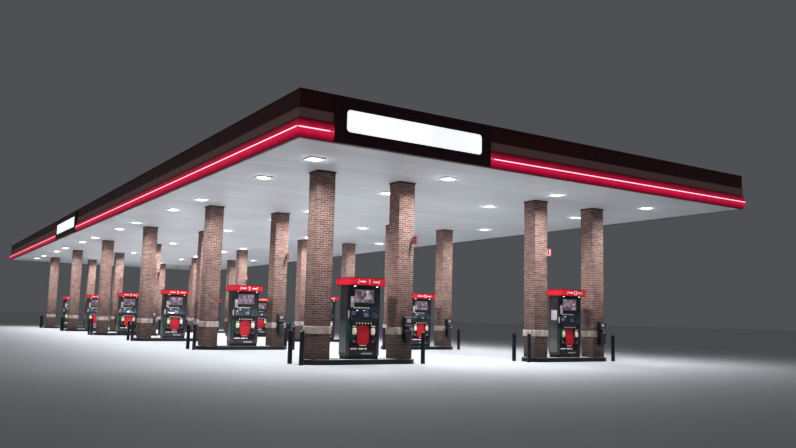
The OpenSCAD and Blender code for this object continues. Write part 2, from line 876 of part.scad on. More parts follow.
// Nozzle hung upright: grip with a swivel below and the body above, the spout
// turned over on one side and the lever guard on the other
module nozzle() {
    body_z = nozzle_z + grip_h;
    spout_x = -body_w / 2;
    spout_z = body_z + body_h - body_r - spout_r;
    guard = [2 * guard_out, body_z + body_r - nozzle_z - swivel_h];
    cap_d = 40;
    lever = [8, 16, 150];
    lever_tilt = 8;

    translate([0, 0, nozzle_z]) cylinder(h = swivel_h, d = swivel_d);
    translate([0, 0, nozzle_z]) linear_extrude(grip_h) square(grip, center = true);
    translate([0, body_t / 2, body_z + body_h / 2]) rotate([90, 0, 0])
        linear_extrude(body_t) round_rect(body_w, body_h, body_r);
    translate([body_w / 2, 0, body_z + body_h - body_r - cap_d / 2])
        rotate([0, 90, 0]) cylinder(h = cap_d / 2, d = cap_d);

    translate([spout_x, 0, spout_z]) elbow(spout_r, spout_d);
    translate([spout_x - spout_r, 0, spout_z - spout_l]) cylinder(h = spout_l, d = spout_d);

    translate([0, guard_t / 2, body_z + body_r - guard[1] / 2]) rotate([90, 0, 0])
        linear_extrude(guard_t) intersection() {
            difference() {
                round_rect(guard[0], guard[1], guard_r);
                round_rect(guard[0] - 2 * guard_t, guard[1] - 2 * guard_t, guard_r - guard_t);
            }
            translate([0, -guard[1] / 2]) square(guard);
        }
    translate([grip[0] / 2, 0, body_z]) rotate([0, -lever_tilt, 0])
        translate([-lever[0], -lever[1] / 2, -lever[2]]) cube(lever);
}

module nozzles() {
    color("#2c2d2f") full_size() at_boots() translate([0, -boot_t - body_t / 2, 0]) nozzle();
}

// Square plate with a raised rim on both faces, on two short arms. It stands out
// into the lane, so drivers read it from either end of the lane.
module number_flags() {
    rim = 14;
    sunk = 4;
    arm_d = 24;
    arm_z = flag_side * 0.3;
    color("#b3182b") full_size() for (k = [1, 2], y = row_y, a = [0, 1])
        translate([column_x[k] + flag_shift, y, flag_z + flag_side / 2]) mirror([0, a, 0])
            translate([0, -pier_side / 2, 0]) {
                translate([0, -flag_arm - flag_side / 2, 0]) rotate([90, 0, 90]) difference() {
                    translate([0, 0, -flag_t / 2]) linear_extrude(flag_t)
                        round_rect(flag_side, flag_side, rim);
                    for (s = [0, 1]) mirror([0, 0, s]) translate([0, 0, flag_t / 2 - sunk])
                        linear_extrude(cut)
                            round_rect(flag_side - 2 * rim, flag_side - 2 * rim, rim / 2);
                }
                for (s = [-1, 1]) translate([0, 0, s * arm_z]) rotate([90, 0, 0])
                    cylinder(h = flag_arm + rim, d = arm_d);
            }
}

// Washer bucket with a towel box above it, on one plate that stands off the
// column on two blocks. The box slopes back at the top and in at the towel slot.
module service_units() {
    plate = [towel_w - clearance, 12, bucket_h + towel_gap + towel_h];
    block = [200, band_proud, 50];
    rim_h = 30;
    rim_over = 8;
    slot_h = 40;
    color("#1d1f22") full_size() at_faces()
        translate([pair_pitch / 2 + unit_shift, -pier_side / 2 - band_proud, bucket_z]) {
            translate([-plate[0] / 2, -plate[1], 0]) cube(plate);
            for (z = [block[2], plate[2] - 2 * block[2]])
                translate([-block[0] / 2, 0, z]) cube(block);
            translate([0, -bucket_d / 2 - plate[1], 0]) {
                cylinder(h = bucket_h, d1 = bucket_d * bucket_taper, d2 = bucket_d);
                translate([0, 0, bucket_h - rim_h]) cylinder(h = rim_h, d = bucket_d + 2 * rim_over);
            }
            translate([-towel_w / 2, 0, bucket_h + towel_gap]) rotate([90, 0, 90])
                linear_extrude(towel_w) polygon([
                    [0, 0], [-towel_d + slot_h, 0], [-towel_d, slot_h],
                    [-towel_d, towel_h - slot_h], [-towel_d / 2, towel_h], [0, towel_h]
                ]);
        }
}

island_forms();
island_slabs();
bollards();
steel_columns();
brick_piers(0);  // brick_piers_line_1
brick_piers(1);  // brick_piers_line_2
brick_piers(2);  // brick_piers_line_3
brick_piers(3);  // brick_piers_line_4
stone_bands();
column_collars();
main_beams();
purlins();
deck_pans();
gutter();
fascia_frames();
fascia_panels(0);  // fascia_front
fascia_panels(1);  // fascia_right
fascia_panels(2);  // fascia_back
fascia_panels(3);  // fascia_left
fascia_coping();
fascia_stripes();
bullnose(0);  // bullnose_front
bullnose(1);  // bullnose_right
bullnose(2);  // bullnose_back
bullnose(3);  // bullnose_left
light_strips();
sign_cabinet(0);  // front_sign_cabinet
sign_cabinet(3);  // side_sign_cabinet
sign_pans();
lamp_bezels();
lamp_lenses();
lamp_drivers();
dispenser_plinths();
dispenser_cabinets();
dispenser_doors();
dispenser_bezels();
dispenser_screens();
payment_units();
grade_buttons();
dispenser_headers();
nozzle_boots();
nozzles();
number_flags();
service_units();
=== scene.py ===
"""Looks of a filling station canopy on brick-clad columns, a 1:2 scale model.

Sizes are the full-size ones in millimetres, which metres() brings to the scale
of the model. Only the camera and the studio are in the model's own metres. The
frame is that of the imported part: +X along the short front fascia, +Y along the
long side fascia and +Z up from the ground.
"""

import logging
import math
import random
from collections.abc import Iterable, Iterator, Sequence
from dataclasses import dataclass
from enum import Enum
from typing import Self

import bmesh
import bpy
from mathutils import Matrix, Vector


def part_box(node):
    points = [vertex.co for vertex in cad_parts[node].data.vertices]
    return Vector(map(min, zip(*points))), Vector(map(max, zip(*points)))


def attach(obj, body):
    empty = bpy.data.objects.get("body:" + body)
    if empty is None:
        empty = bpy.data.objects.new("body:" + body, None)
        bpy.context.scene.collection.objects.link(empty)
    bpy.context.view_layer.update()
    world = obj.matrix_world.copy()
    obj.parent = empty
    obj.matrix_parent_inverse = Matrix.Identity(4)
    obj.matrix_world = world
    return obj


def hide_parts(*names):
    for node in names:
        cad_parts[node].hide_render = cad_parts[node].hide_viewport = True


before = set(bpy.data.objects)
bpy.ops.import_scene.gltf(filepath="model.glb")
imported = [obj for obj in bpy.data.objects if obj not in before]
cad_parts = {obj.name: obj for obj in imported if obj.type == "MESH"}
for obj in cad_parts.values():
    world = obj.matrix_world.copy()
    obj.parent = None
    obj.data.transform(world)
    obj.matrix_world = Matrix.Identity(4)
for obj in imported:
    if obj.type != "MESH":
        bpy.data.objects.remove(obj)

Point = tuple[float, float, float]
Pair = tuple[float, float]
Corner = Pair
Box = tuple[float, float, float, float]
Outline = Sequence[Corner]
Profile = tuple[Corner, ...]
Face = tuple[int, ...]
Stops = Sequence[tuple[float, str]]
Socket = bpy.types.NodeSocket

LOG = logging.getLogger("canopy")
SCALE = 0.5
ROWS = 6
BODY = "root"
WHITE = "#ffffff"

# Edges flatter than this many degrees are shaded smooth
SMOOTH_BELOW = 38.0

# Where an outline shrinks, a sharp corner moves at most 1 / 0.3 times as far as its edges
CORNER_LIMIT = 0.3

# The part of a raised frame's width that each of its two eased edges takes
FRAME_EASE = 0.12

# Height of a figure as a share of its type size, and how much of that height its outline grows by
FIGURE_SHARE = 0.7
FIGURE_GROWTH = 0.012

# How much the brickwork darkens towards the island, up to 2.7 m: painted shade where the lamps' light falls
# off, with some splashed dirt low down
SHADE_AND_SPLASH_LEVELS = (150.0, 2700.0)
SHADE_AND_SPLASH = ((0.0, "#7c7778"), (0.18, "#949091"), (0.63, "#cfcccd"), (1.0, WHITE))


def metres(millimetres: float) -> float:
    """A full-size length in millimetres, in metres at the scale of the model."""
    return millimetres * SCALE / 1000


def pattern_scale(millimetres: float) -> float:
    """The texture scale whose cells are this wide on the full-size canopy."""
    return 1 / metres(millimetres)


def linear(colour: str) -> tuple[float, float, float, float]:
    """An sRGB hex colour as linear red, green and blue, with an alpha of 1."""
    parts = [int(colour[i : i + 2], 16) / 255 for i in (1, 3, 5)]
    red, green, blue = (c / 12.92 if c <= 0.04045 else ((c + 0.055) / 1.055) ** 2.4 for c in parts)
    return red, green, blue, 1.0


def node_box(node: str) -> tuple[Vector, Vector]:
    """Lowest and highest corner of a CAD node, in full-size millimetres."""
    low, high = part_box(node)
    return low * 1000 / SCALE, high * 1000 / SCALE


def put_in_scene(name: str, data: bpy.types.ID) -> bpy.types.Object:
    """A new object for a mesh, a light or a camera, linked into the scene."""
    thing = bpy.data.objects.new(name, data)
    bpy.context.scene.collection.objects.link(thing)
    return thing


class Surface:
    """A material in the making, with the steps that several finishes share."""

    def __init__(self, finish: "Finish") -> None:
        self.colour = finish.colour
        self.roughness = finish.roughness
        self.material = bpy.data.materials.new(finish.name)
        self.material.use_nodes = True
        self.material.diffuse_color = linear(finish.colour)
        self.tree = self.material.node_tree
        self.shader = self.tree.nodes["Principled BSDF"]
        self.set("Base Color", linear(finish.colour))
        self.set("Roughness", finish.roughness)
        self.set("Metallic", finish.metallic)
        if not finish.metallic:
            self.set("IOR", finish.ior)

    def add_node(
        self,
        kind: str,
        output: str | int,
        settings: dict[str, object] | None = None,
        inputs: dict[str | int, object] | None = None,
        stops: Stops = (),
    ) -> Socket:
        """Adds a node with its settings and links.

        Args:
            kind: Blender's name for the node type.
            output: Which of its outputs is wanted.
            settings: Attributes to set on the node.
            inputs: For each input, a value, or an output socket to link to it.
            stops: Places and hex colours, for a node that holds a colour ramp.

        Returns:
            That output.
        """
        node = self.tree.nodes.new(kind)
        for key, value in (settings or {}).items():
            setattr(node, key, value)
        for key, value in (inputs or {}).items():
            if isinstance(value, Socket):
                self.tree.links.new(value, node.inputs[key])
            else:
                node.inputs[key].default_value = value
        if stops:
            elements = node.color_ramp.elements
            while len(elements) < len(stops):
                elements.new(0.5)
            for element, (position, colour) in zip(elements, stops):
                element.position = position
                element.color = linear(colour)
        return node.outputs[output]

    def set(self, socket: str, value: object) -> None:
        """Sets one of the shader's own sockets, or links an output to it."""
        if isinstance(value, Socket):
            self.tree.links.new(value, self.shader.inputs[socket])
        else:
            self.shader.inputs[socket].default_value = value

    def plain(self, colour: str | None = None) -> Socket:
        """A hex colour, or else the finish's own, as a socket that the steps below build on."""
        stops = [(position, colour or self.colour) for position in (0.0, 1.0)]
        return self.add_node("ShaderNodeValToRGB", "Color", stops=stops)

    def grain(self, size: float, detail: float = 3.0, stretch: Point = (1, 1, 1)) -> Socket:
        """Noise whose cells have a real size.

        Args:
            size: Width of a cell in full-size millimetres.
            detail: How many finer layers it has.
            stretch: How many times longer a cell is along x, y and z.

        Returns:
            The noise, from 0 to 1.
        """
        place = self.add_node("ShaderNodeTexCoord", "Object")
        inputs = {"Vector": place, "Scale": tuple(1 / s for s in stretch)}
        mapped = self.add_node("ShaderNodeMapping", "Vector", inputs=inputs)
        inputs = {"Vector": mapped, "Scale": pattern_scale(size), "Detail": detail}
        return self.add_node("ShaderNodeTexNoise", "Fac", inputs=inputs)

    def height(self, low: float, high: float) -> Socket:
        """Goes from 0 to 1 between two heights above the ground, in full-size millimetres."""
        place = self.add_node("ShaderNodeTexCoord", "Object")
        up = self.add_node("ShaderNodeSeparateXYZ", "Z", inputs={"Vector": place})
        inputs = {"Value": up, "From Min": metres(low), "From Max": metres(high)}
        return self.add_node("ShaderNodeMapRange", "Result", inputs=inputs)

    def by_height(self, low: float, high: float, stops: Stops) -> Socket:
        """A colour that follows a ramp between two heights, in full-size millimetres."""
        inputs = {"Fac": self.height(low, high)}
        return self.add_node("ShaderNodeValToRGB", "Color", inputs=inputs, stops=stops)

    def facing_up(self) -> Socket:
        """1 on surfaces that face up, where dust settles, and 0 elsewhere."""
        normal = self.add_node("ShaderNodeNewGeometry", "Normal")
        up = self.add_node("ShaderNodeSeparateXYZ", "Z", inputs={"Vector": normal})
        inputs = {"Value": up, "From Min": 0.3, "From Max": 0.9}
        return self.add_node("ShaderNodeMapRange", "Result", inputs=inputs)

    def each_sheet(self) -> Socket:
        """A number from 0 to 1 that differs from one separate sheet to the next."""
        return self.add_node("ShaderNodeNewGeometry", "Random Per Island")

    def shade(self, under: Socket, pattern: Socket, stops: Stops) -> Socket:
        """Multiplies a colour by a ramp that a pattern drives.

        Args:
            under: The colour so far.
            pattern: What drives the ramp.
            stops: The ramp's places and colours.

        Returns:
            The shaded colour.
        """
        ramp = self.add_node("ShaderNodeValToRGB", "Color", inputs={"Fac": pattern}, stops=stops)
        settings = {"data_type": "RGBA", "blend_type": "MULTIPLY"}
        inputs = {0: 1.0, 6: under, 7: ramp}
        return self.add_node("ShaderNodeMix", 2, settings, inputs)

    def mottle(
        self, under: Socket, tone: str, pattern: Socket, dark: float = 0.3, clear: float = 0.7
    ) -> Socket:
        """Darkens a colour where a pattern is weak.

        Args:
            under: The colour so far.
            tone: The hex colour that it is multiplied by there.
            pattern: What says where.
            dark: The pattern's value where the tone has its full share.
            clear: The pattern's value where the colour is left as it was.

        Returns:
            The mottled colour.
        """
        return self.shade(under, pattern, [(dark, tone), (clear, WHITE)])

    def shade_and_splash(self, under: Socket) -> Socket:
        """Darkens brickwork towards the island: painted shade where the lamps' light falls off, with some
        splashed dirt low down.
        """
        return self.shade(under, self.height(*SHADE_AND_SPLASH_LEVELS), SHADE_AND_SPLASH)

    def cover(
        self, under: Socket, colour: str, pattern: Socket,
        start: float = 0.0, full: float = 1.0, most: float = 1.0,
    ) -> Socket:
        """Lays a colour over another where a pattern is strong.

        Args:
            under: The colour so far.
            colour: The hex colour to lay over it.
            pattern: What says where.
            start: The pattern's value where the cover begins.
            full: The pattern's value where it has its full share.
            most: That share, from 0 to 1.

        Returns:
            The covered colour.
        """
        inputs = {"Value": pattern, "From Min": start, "From Max": full, "To Max": most}
        share = self.add_node("ShaderNodeMapRange", "Result", inputs=inputs)
        settings = {"data_type": "RGBA", "blend_type": "MIX"}
        inputs = {0: share, 6: under, 7: linear(colour)}
        return self.add_node("ShaderNodeMix", 2, settings, inputs)

    def gloss(self, pattern: Socket, low: float, high: float) -> None:
        """Adds to the roughness: one amount where a pattern is at 0.3, another where it is at 0.7."""
        low, high = self.roughness + low, self.roughness + high
        inputs = {"Value": pattern, "From Min": 0.3, "From Max": 0.7, "To Min": low, "To Max": high}
        self.set("Roughness", self.add_node("ShaderNodeMapRange", "Result", inputs=inputs))

    def relief(self, pattern: Socket, depth: float, strength: float = 1.0) -> None:
        """Raises the surface by a pattern, to a depth in full-size millimetres."""
        inputs = {"Height": pattern, "Distance": metres(depth), "Strength": strength}
        self.set("Normal", self.add_node("ShaderNodeBump", "Normal", inputs=inputs))

    def varnish(self, weight: float, roughness: float) -> None:
        """Lays a clear coat over the surface."""
        self.set("Coat Weight", weight)
        self.set("Coat Roughness", roughness)

    def emit(self, light: Socket, strength: float) -> None:
        """Lets the surface give light of its own."""
        self.set("Emission Color", light)
        self.set("Emission Strength", strength)


@dataclass(frozen=True)
class Finish:
    """What every finish has: its name, its colour and how it takes light."""

    name: str
    colour: str
    roughness: float
    metallic: float = 0.0
    ior: float = 1.5

    def material(self) -> bpy.types.Material:
        """The finish as a material, made the first time that it is asked for."""
        found = bpy.data.materials.get(self.name)
        if found:
            return found
        surface = Surface(self)
        self.dress(surface)
        return surface.material

    def dress(self, surface: Surface) -> None:
        """Adds what the surface shows up close, which is nothing on a plain one."""


@dataclass(frozen=True)
class FaceBrick(Finish):
    """Wire-cut fired clay: matt, each brick with its own tone, burnt specks and drag marks."""

    name: str = "wire_cut_clay_brick"
    colour: str = "#98786b"
    roughness: float = 0.86
    cloud: float = 60.0
    speck: float = 5.0
    bloom: float = 900.0
    drag: float = 7.0
    kiln: Stops = (
        (0.0, "#5e413f"), (0.15, "#72504d"), (0.5, "#805a57"),
        (0.8, "#8d655f"), (0.94, "#9b776c"), (1.0, "#684846"),
    )

    def dress(self, surface: Surface) -> None:
        """Gives each brick its tone, then clouding, specks, salt bloom, painted shade with some splashed dirt
        towards the island, and drag marks.
        """
        tone = surface.add_node("ShaderNodeAttribute", "Fac", {"attribute_name": "tone"})
        colour = surface.add_node("ShaderNodeValToRGB", "Color", inputs={"Fac": tone}, stops=self.kiln)
        colour = surface.mottle(colour, "#dcd5d1", surface.grain(self.cloud, detail=4))
        colour = surface.mottle(colour, "#75685f", surface.grain(self.speck, detail=2), clear=0.42)
        colour = surface.cover(colour, "#c9bcb0", surface.grain(self.bloom, detail=5), 0.6, 0.8, most=0.22)
        surface.set("Base Color", surface.shade_and_splash(colour))
        surface.relief(surface.grain(self.drag, stretch=(3, 3, 1)), depth=1.4)


@dataclass(frozen=True)
class Mortar(Finish):
    """Raked cement mortar: pale, sandy and without gloss, so that the bond reads as a net."""

    name: str = "raked_cement_mortar"
    colour: str = "#e4dac8"
    roughness: float = 0.95
    damp: float = 250.0
    sand: float = 3.0

    def dress(self, surface: Surface) -> None:
        """Gives the joints their damp patches, their sand, and painted shade with some splashed dirt towards
        the island.
        """
        colour = surface.mottle(surface.plain(), "#cdc6c1", surface.grain(self.damp), 0.35, 0.6)
        colour = surface.mottle(colour, "#b5aca5", surface.grain(self.sand, detail=2), clear=0.6)
        surface.set("Base Color", surface.shade_and_splash(colour))
        surface.relief(surface.grain(self.sand, detail=2), depth=1.0)


@dataclass(frozen=True)
class CastStone(Finish):
    """Dry-tamped cast stone: a matt sandy face with small air holes and rain stains."""

    name: str = "tamped_cast_stone"
    colour: str = "#b9ada6"
    roughness: float = 0.9
    stain: float = 180.0
    sand: float = 4.0
    hole: float = 9.0

    def dress(self, surface: Surface) -> None:
        """Gives the stone its stains, sand, air holes and grey upper edge."""
        stains = surface.grain(self.stain, detail=4, stretch=(1, 1, 3))
        holes = surface.grain(self.hole, detail=1)
        colour = surface.mottle(surface.plain(), "#a79d93", stains, clear=0.62)
        colour = surface.mottle(colour, "#cbc2b9", surface.grain(self.sand, detail=2), clear=0.6)
        colour = surface.mottle(colour, "#645b53", holes, 0.26, 0.33)
        surface.set("Base Color", surface.cover(colour, "#77706a", surface.facing_up(), most=0.45))
        surface.relief(holes, depth=2.0)


@dataclass(frozen=True)
class BroomedConcrete(Finish):
    """Concrete brushed across while wet: fine ridges, grey patches and dark drip stains."""

    name: str = "broomed_concrete"
    colour: str = "#aeaba4"
    roughness: float = 0.9
    patch: float = 420.0
    drip: float = 95.0
    sand: float = 6.0
    ridge: float = 9.0

    def dress(self, surface: Surface) -> None:
        """Gives the concrete its patches, dark drips, sand and broom ridges."""
        patches = surface.grain(self.patch, detail=5)
        colour = surface.mottle(surface.plain(), "#94918b", patches, clear=0.65)
        colour = surface.mottle(colour, "#9a9690", surface.grain(self.drip), 0.24, 0.38)
        colour = surface.mottle(colour, "#c2bfba", surface.grain(self.sand, detail=2), clear=0.6)
        surface.set("Base Color", colour)
        # Broom ridges are about 3 mm apart and are drawn at 9 mm, so that they show
        surface.relief(surface.grain(self.ridge, detail=2, stretch=(1, 14, 1)), depth=2.5)


@dataclass(frozen=True)
class Enamel(Finish):
    """Stove enamel on steel: a smooth satin film, dusty near the ground and scuffed."""

    dust: str = "#8d8983"
    dust_top: float = 140.0
    dust_share: float = 0.04
    specular: float = 0.3
    scuff: float = 40.0
    ripple: float = 14.0

    def dress(self, surface: Surface) -> None:
        """Gives the enamel its dust, scuffs, gloss changes and slight waviness."""
        scuffs = surface.grain(self.scuff, detail=6, stretch=(1, 1, 4))
        low_down = surface.height(self.dust_top, 0)
        colour = surface.cover(surface.plain(), self.dust, low_down, most=self.dust_share)
        colour = surface.cover(colour, self.dust, surface.facing_up(), most=2 * self.dust_share)
        colour = surface.cover(colour, self.dust, scuffs, 0.62, 0.74, most=2 * self.dust_share)
        surface.set("Base Color", colour)
        surface.set("Specular IOR Level", self.specular)
        surface.gloss(scuffs, -0.06, 0.14)
        surface.relief(surface.grain(self.ripple, detail=2), depth=0.25)


@dataclass(frozen=True)
class ShopPrimer(Finish):
    """Sprayed shop primer on rolled steel: matt, patchy, with rust blooming through it."""

    name: str = "grey_shop_primer"
    colour: str = "#74777a"
    roughness: float = 0.7
    patch: float = 600.0
    rust: float = 70.0
    spray: float = 12.0

    def dress(self, surface: Surface) -> None:
        """Gives the primer its patches and blooms of rust."""
        colour = surface.mottle(surface.plain(), "#b8b4b0", surface.grain(self.patch, detail=4))
        colour = surface.cover(colour, "#7a4a32", surface.grain(self.rust, detail=6), 0.64, 0.73, most=0.8)
        surface.set("Base Color", colour)
        surface.relief(surface.grain(self.spray), depth=0.5)


@dataclass(frozen=True)
class Galvanised(Finish):
    """Hot-dip zinc: crystals of slightly different greys with a soft metal sheen."""

    name: str = "hot_dip_zinc"
    colour: str = "#b4b8ba"
    roughness: float = 0.42
    metallic: float = 0.9
    spangle: float = 25.0
    bloom: float = 500.0

    def dress(self, surface: Surface) -> None:
        """Gives the zinc its crystals, each with a tone and a gloss of its own, and dull patches."""
        place = surface.add_node("ShaderNodeTexCoord", "Object")
        inputs = {"Vector": place, "Scale": pattern_scale(self.spangle)}
        cell = surface.add_node("ShaderNodeTexVoronoi", "Color", inputs=inputs)
        crystal = surface.add_node("ShaderNodeSeparateColor", "Red", inputs={"Color": cell})
        colour = surface.mottle(surface.plain(), "#cfd2d4", crystal, 0.0, 1.0)
        colour = surface.mottle(colour, "#c9c6c0", surface.grain(self.bloom, detail=4), 0.35, 0.6)
        surface.set("Base Color", colour)
        surface.gloss(crystal, -0.08, 0.12)


@dataclass(frozen=True)
class CoilCoatedSheet(Finish):
    """Coil-coated steel sheet: even white satin below, rain silt on top."""

    name: str = "coil_coated_steel_sheet"
    colour: str = "#e9ecef"
    roughness: float = 0.38
    drift: float = 2500.0
    silt: str = "#a19d94"
    puddle: float = 700.0
    bow: float = 900.0

    def dress(self, surface: Surface) -> None:
        """Gives each sheet its own faint tone below, and its silt and puddle rings on top."""
        colour = surface.mottle(surface.plain(), "#f4f4f4", surface.each_sheet(), 0.0, 1.0)
        colour = surface.mottle(colour, "#f3f3f2", surface.grain(self.drift, detail=2))
        inputs = {0: surface.grain(self.puddle, detail=6), 1: surface.facing_up()}
        settings = {"operation": "MULTIPLY"}
        settled = surface.add_node("ShaderNodeMath", "Value", settings, inputs)
        surface.set("Base Color", surface.cover(colour, self.silt, settled, 0.25, 0.7, most=0.85))
        # A flat pan bows by less than a millimetre over its width
        surface.relief(surface.grain(self.bow, detail=1, stretch=(3, 1, 1)), depth=0.6, strength=0.25)


@dataclass(frozen=True)
class SatinPanel(Finish):
    """Factory-painted sheet: even satin colour, faint rain streaks and orange peel."""

    dirt: str = "#8a7f7a"
    streak: float = 90.0
    streak_share: float = 0.05
    ledge_share: float = 0.4
    coat: float = 0.1
    specular: float = 0.3
    cloud: float = 400.0
    peel: float = 8.0

    def dress(self, surface: Surface) -> None:
        """Gives each sheet its own faint tone, rain streaks, a dusty upper edge and orange peel."""
        streaks = surface.grain(self.streak, detail=4, stretch=(1, 1, 14))
        colour = surface.mottle(surface.plain(), "#ebebeb", surface.each_sheet(), 0.0, 1.0)
        colour = surface.cover(colour, self.dirt, streaks, 0.45, 0.8, most=self.streak_share)
        colour = surface.cover(colour, self.dirt, surface.facing_up(), most=self.ledge_share)
        surface.set("Base Color", colour)
        surface.set("Specular IOR Level", self.specular)
        surface.varnish(self.coat, 0.2)
        surface.gloss(surface.grain(self.cloud, detail=4), -0.05, 0.07)
        surface.relief(surface.grain(self.peel, detail=1), depth=0.12)


@dataclass(frozen=True)
class LitAcrylic(Finish):
    """Translucent red acrylic lit from inside: it glows beside the light and dies towards its edges."""

    name: str = "lit_red_acrylic"
    colour: str = "#26040b"
    roughness: float = 0.3
    ior: float = 1.49
    low: float = 5900.0
    high: float = 6430.0
    spot: float = 220.0
    draw: float = 30.0
    glow: Stops = (
        (0.0, "#4c0718"), (0.08, "#740a24"), (0.2, "#b60a38"), (0.34, "#d81b4a"),
        (0.43, "#c61e46"), (0.5, "#f06880"), (0.57, "#b41b3c"), (0.7, "#a00e30"),
        (0.82, "#780823"), (0.92, "#440614"), (1.0, "#200307"),
    )

    def dress(self, surface: Surface) -> None:
        """Lets the glow fade from the light to both edges, with soft spots over the light points."""
        glow = surface.by_height(self.low, self.high, self.glow)
        glow = surface.mottle(glow, "#e6e6e6", surface.grain(self.spot, detail=1))
        glow = surface.mottle(glow, "#f2f2f2", surface.each_sheet(), 0.0, 1.0)
        surface.emit(glow, 1.0)
        surface.set("Specular IOR Level", 0.12)
        surface.relief(surface.grain(self.draw, detail=1), depth=0.2)


@dataclass(frozen=True)
class Glowing(Finish):
    """A diffusing cover with light behind it, slightly uneven as the light points show."""

    light: str = WHITE
    strength: float = 5.0
    unevenness: float = 90.0
    darkest: str = "#e9e9e9"

    def dress(self, surface: Surface) -> None:
        """Gives the cover its light, with soft spots over the light points."""
        spots = surface.grain(self.unevenness, detail=1)
        surface.emit(surface.mottle(surface.plain(self.light), self.darkest, spots), self.strength)


@dataclass(frozen=True)
class StripDiffuser(Finish):
    """Extruded silicone over light points: nearly white along its middle, rose at its edges."""

    name: str = "extruded_silicone_diffuser"
    colour: str = "#7c1c30"
    roughness: float = 0.5
    ior: float = 1.41
    low: float = 6100.0
    high: float = 6140.0
    strength: float = 1.75
    beat: float = 110.0
    glow: Stops = ((0.0, "#e04868"), (0.15, "#ffb8c8"), (0.5, "#ffe6f0"), (0.85, "#ffb8c8"), (1.0, "#e04868"))

    def dress(self, surface: Surface) -> None:
        """Gives the strip its bright middle, its rose edges and a soft beat of light points."""
        glow = surface.by_height(self.low, self.high, self.glow)
        surface.emit(surface.mottle(glow, "#ececec", surface.grain(self.beat, detail=1)), self.strength)


@dataclass(frozen=True)
class SatinSteel(Finish):
    """Stainless sheet with a rolled-on satin line: it mirrors the ground softly, streaked upright."""

    name: str = "satin_stainless_sheet"
    colour: str = "#9b9a9a"
    roughness: float = 0.34
    metallic: float = 1.0
    line: float = 5.0
    wipe: float = 420.0
    cloud: float = 300.0
    painted_shade_levels: Pair = (700.0, 1600.0)
    film_levels: Pair = (600.0, 150.0)

    def dress(self, surface: Surface) -> None:
        """Gives the sheet its upright satin line, its wipe marks, painted shade that darkens it towards the
        top, and the road film low down.
        """
        # The satin line is finer than a millimetre and is drawn at 5 mm, so that it shows
        line = surface.grain(self.line, stretch=(1, 1, 60))
        colour = surface.mottle(surface.plain(), "#d6d6d5", line)
        colour = surface.mottle(colour, "#dddbd8", surface.grain(self.wipe), clear=0.65)
        # Painted shade: the sheet darkens towards the top, where it mirrors dark surroundings
        colour = surface.shade(colour, surface.height(*self.painted_shade_levels), [(0.0, WHITE), (1.0, "#b4b5b8")])
        colour = surface.cover(colour, "#8b857c", surface.height(*self.film_levels), most=0.25)
        surface.set("Base Color", colour)
        surface.gloss(surface.grain(self.cloud), -0.02, 0.06)
        surface.relief(line, depth=0.15)


@dataclass(frozen=True)
class HeaderAcrylic(Finish):
    """Vacuum-formed red acrylic between enamelled trims: glossy, softly lit from inside."""

    name: str = "vacuum_formed_red_acrylic"
    colour: str = "#b3182a"
    roughness: float = 0.16
    ior: float = 1.49
    low: float = 2432.0
    high: float = 2648.0
    trim: str = "#6a0d18"
    trim_levels: tuple[Pair, ...] = ((2440.0, 2428.0), (2640.0, 2652.0))
    strength: float = 0.55
    draw: float = 60.0
    glow: Stops = ((0.0, "#1c0305"), (0.02, "#8e1020"), (0.5, "#c0202f"), (0.98, "#96121f"), (1.0, "#1c0305"))

    def dress(self, surface: Surface) -> None:
        """Gives the body its light, brighter to the middle, and darkens the two trims."""
        surface.emit(surface.by_height(self.low, self.high, self.glow), self.strength)
        colour = surface.plain()
        for start, full in self.trim_levels:
            colour = surface.cover(colour, self.trim, surface.height(start, full))
        # Upward faces are mixed towards a pale grey-pink, which makes the top edge paler
        surface.set("Base Color", surface.cover(colour, "#8f8582", surface.facing_up(), most=0.35))
        surface.varnish(0.6, 0.08)
        surface.relief(surface.grain(self.draw, detail=1), depth=0.3)


@dataclass(frozen=True)
class PowderCoat(Finish):
    """Powder coat on sheet steel: a fine orange peel, with road film low down."""

    name: str = "charcoal_powder_coat"
    colour: str = "#1f2124"
    roughness: float = 0.4
    run: float = 120.0
    film_levels: Pair = (900.0, 150.0)
    film_share: float = 0.16
    peel: float = 4.0

    def dress(self, surface: Surface) -> None:
        """Gives the coat its run marks, road film and orange peel."""
        runs = surface.grain(self.run, detail=4, stretch=(1, 1, 5))
        colour = surface.mottle(surface.plain(), "#d2d0cd", runs, 0.35, 0.65)
        colour = surface.cover(colour, "#96918a", surface.height(*self.film_levels), most=self.film_share)
        surface.set("Base Color", colour)
        surface.gloss(runs, -0.06, 0.1)
        surface.relief(surface.grain(self.peel, detail=1), depth=0.3)


@dataclass(frozen=True)
class Moulding(Finish):
    """Injection-moulded plastic with a fine leather-like grain, greyed where hands touch it."""

    name: str = "black_moulded_abs"
    colour: str = "#1b1d21"
    roughness: float = 0.42
    ior: float = 1.53
    pebble: float = 2.5
    pebble_depth: float = 0.3
    cloud: float = 35.0
    cloud_tone: str = "#b9b7b5"
    wear: float = 50.0
    haze: str = "#7c7a76"
    haze_share: float = 0.2

    def dress(self, surface: Surface) -> None:
        """Gives the plastic its dusty upper faces, its wear and its moulded grain."""
        dusty = surface.cover(surface.plain(), self.haze, surface.facing_up(), most=self.haze_share)
        surface.set("Base Color", surface.mottle(dusty, self.cloud_tone, surface.grain(self.cloud, detail=4)))
        surface.gloss(surface.grain(self.wear), -0.07, 0.1)
        # The moulded grain is under a millimetre and is drawn at 2.5 mm, so that it shows
        surface.relief(surface.grain(self.pebble, detail=1), self.pebble_depth)


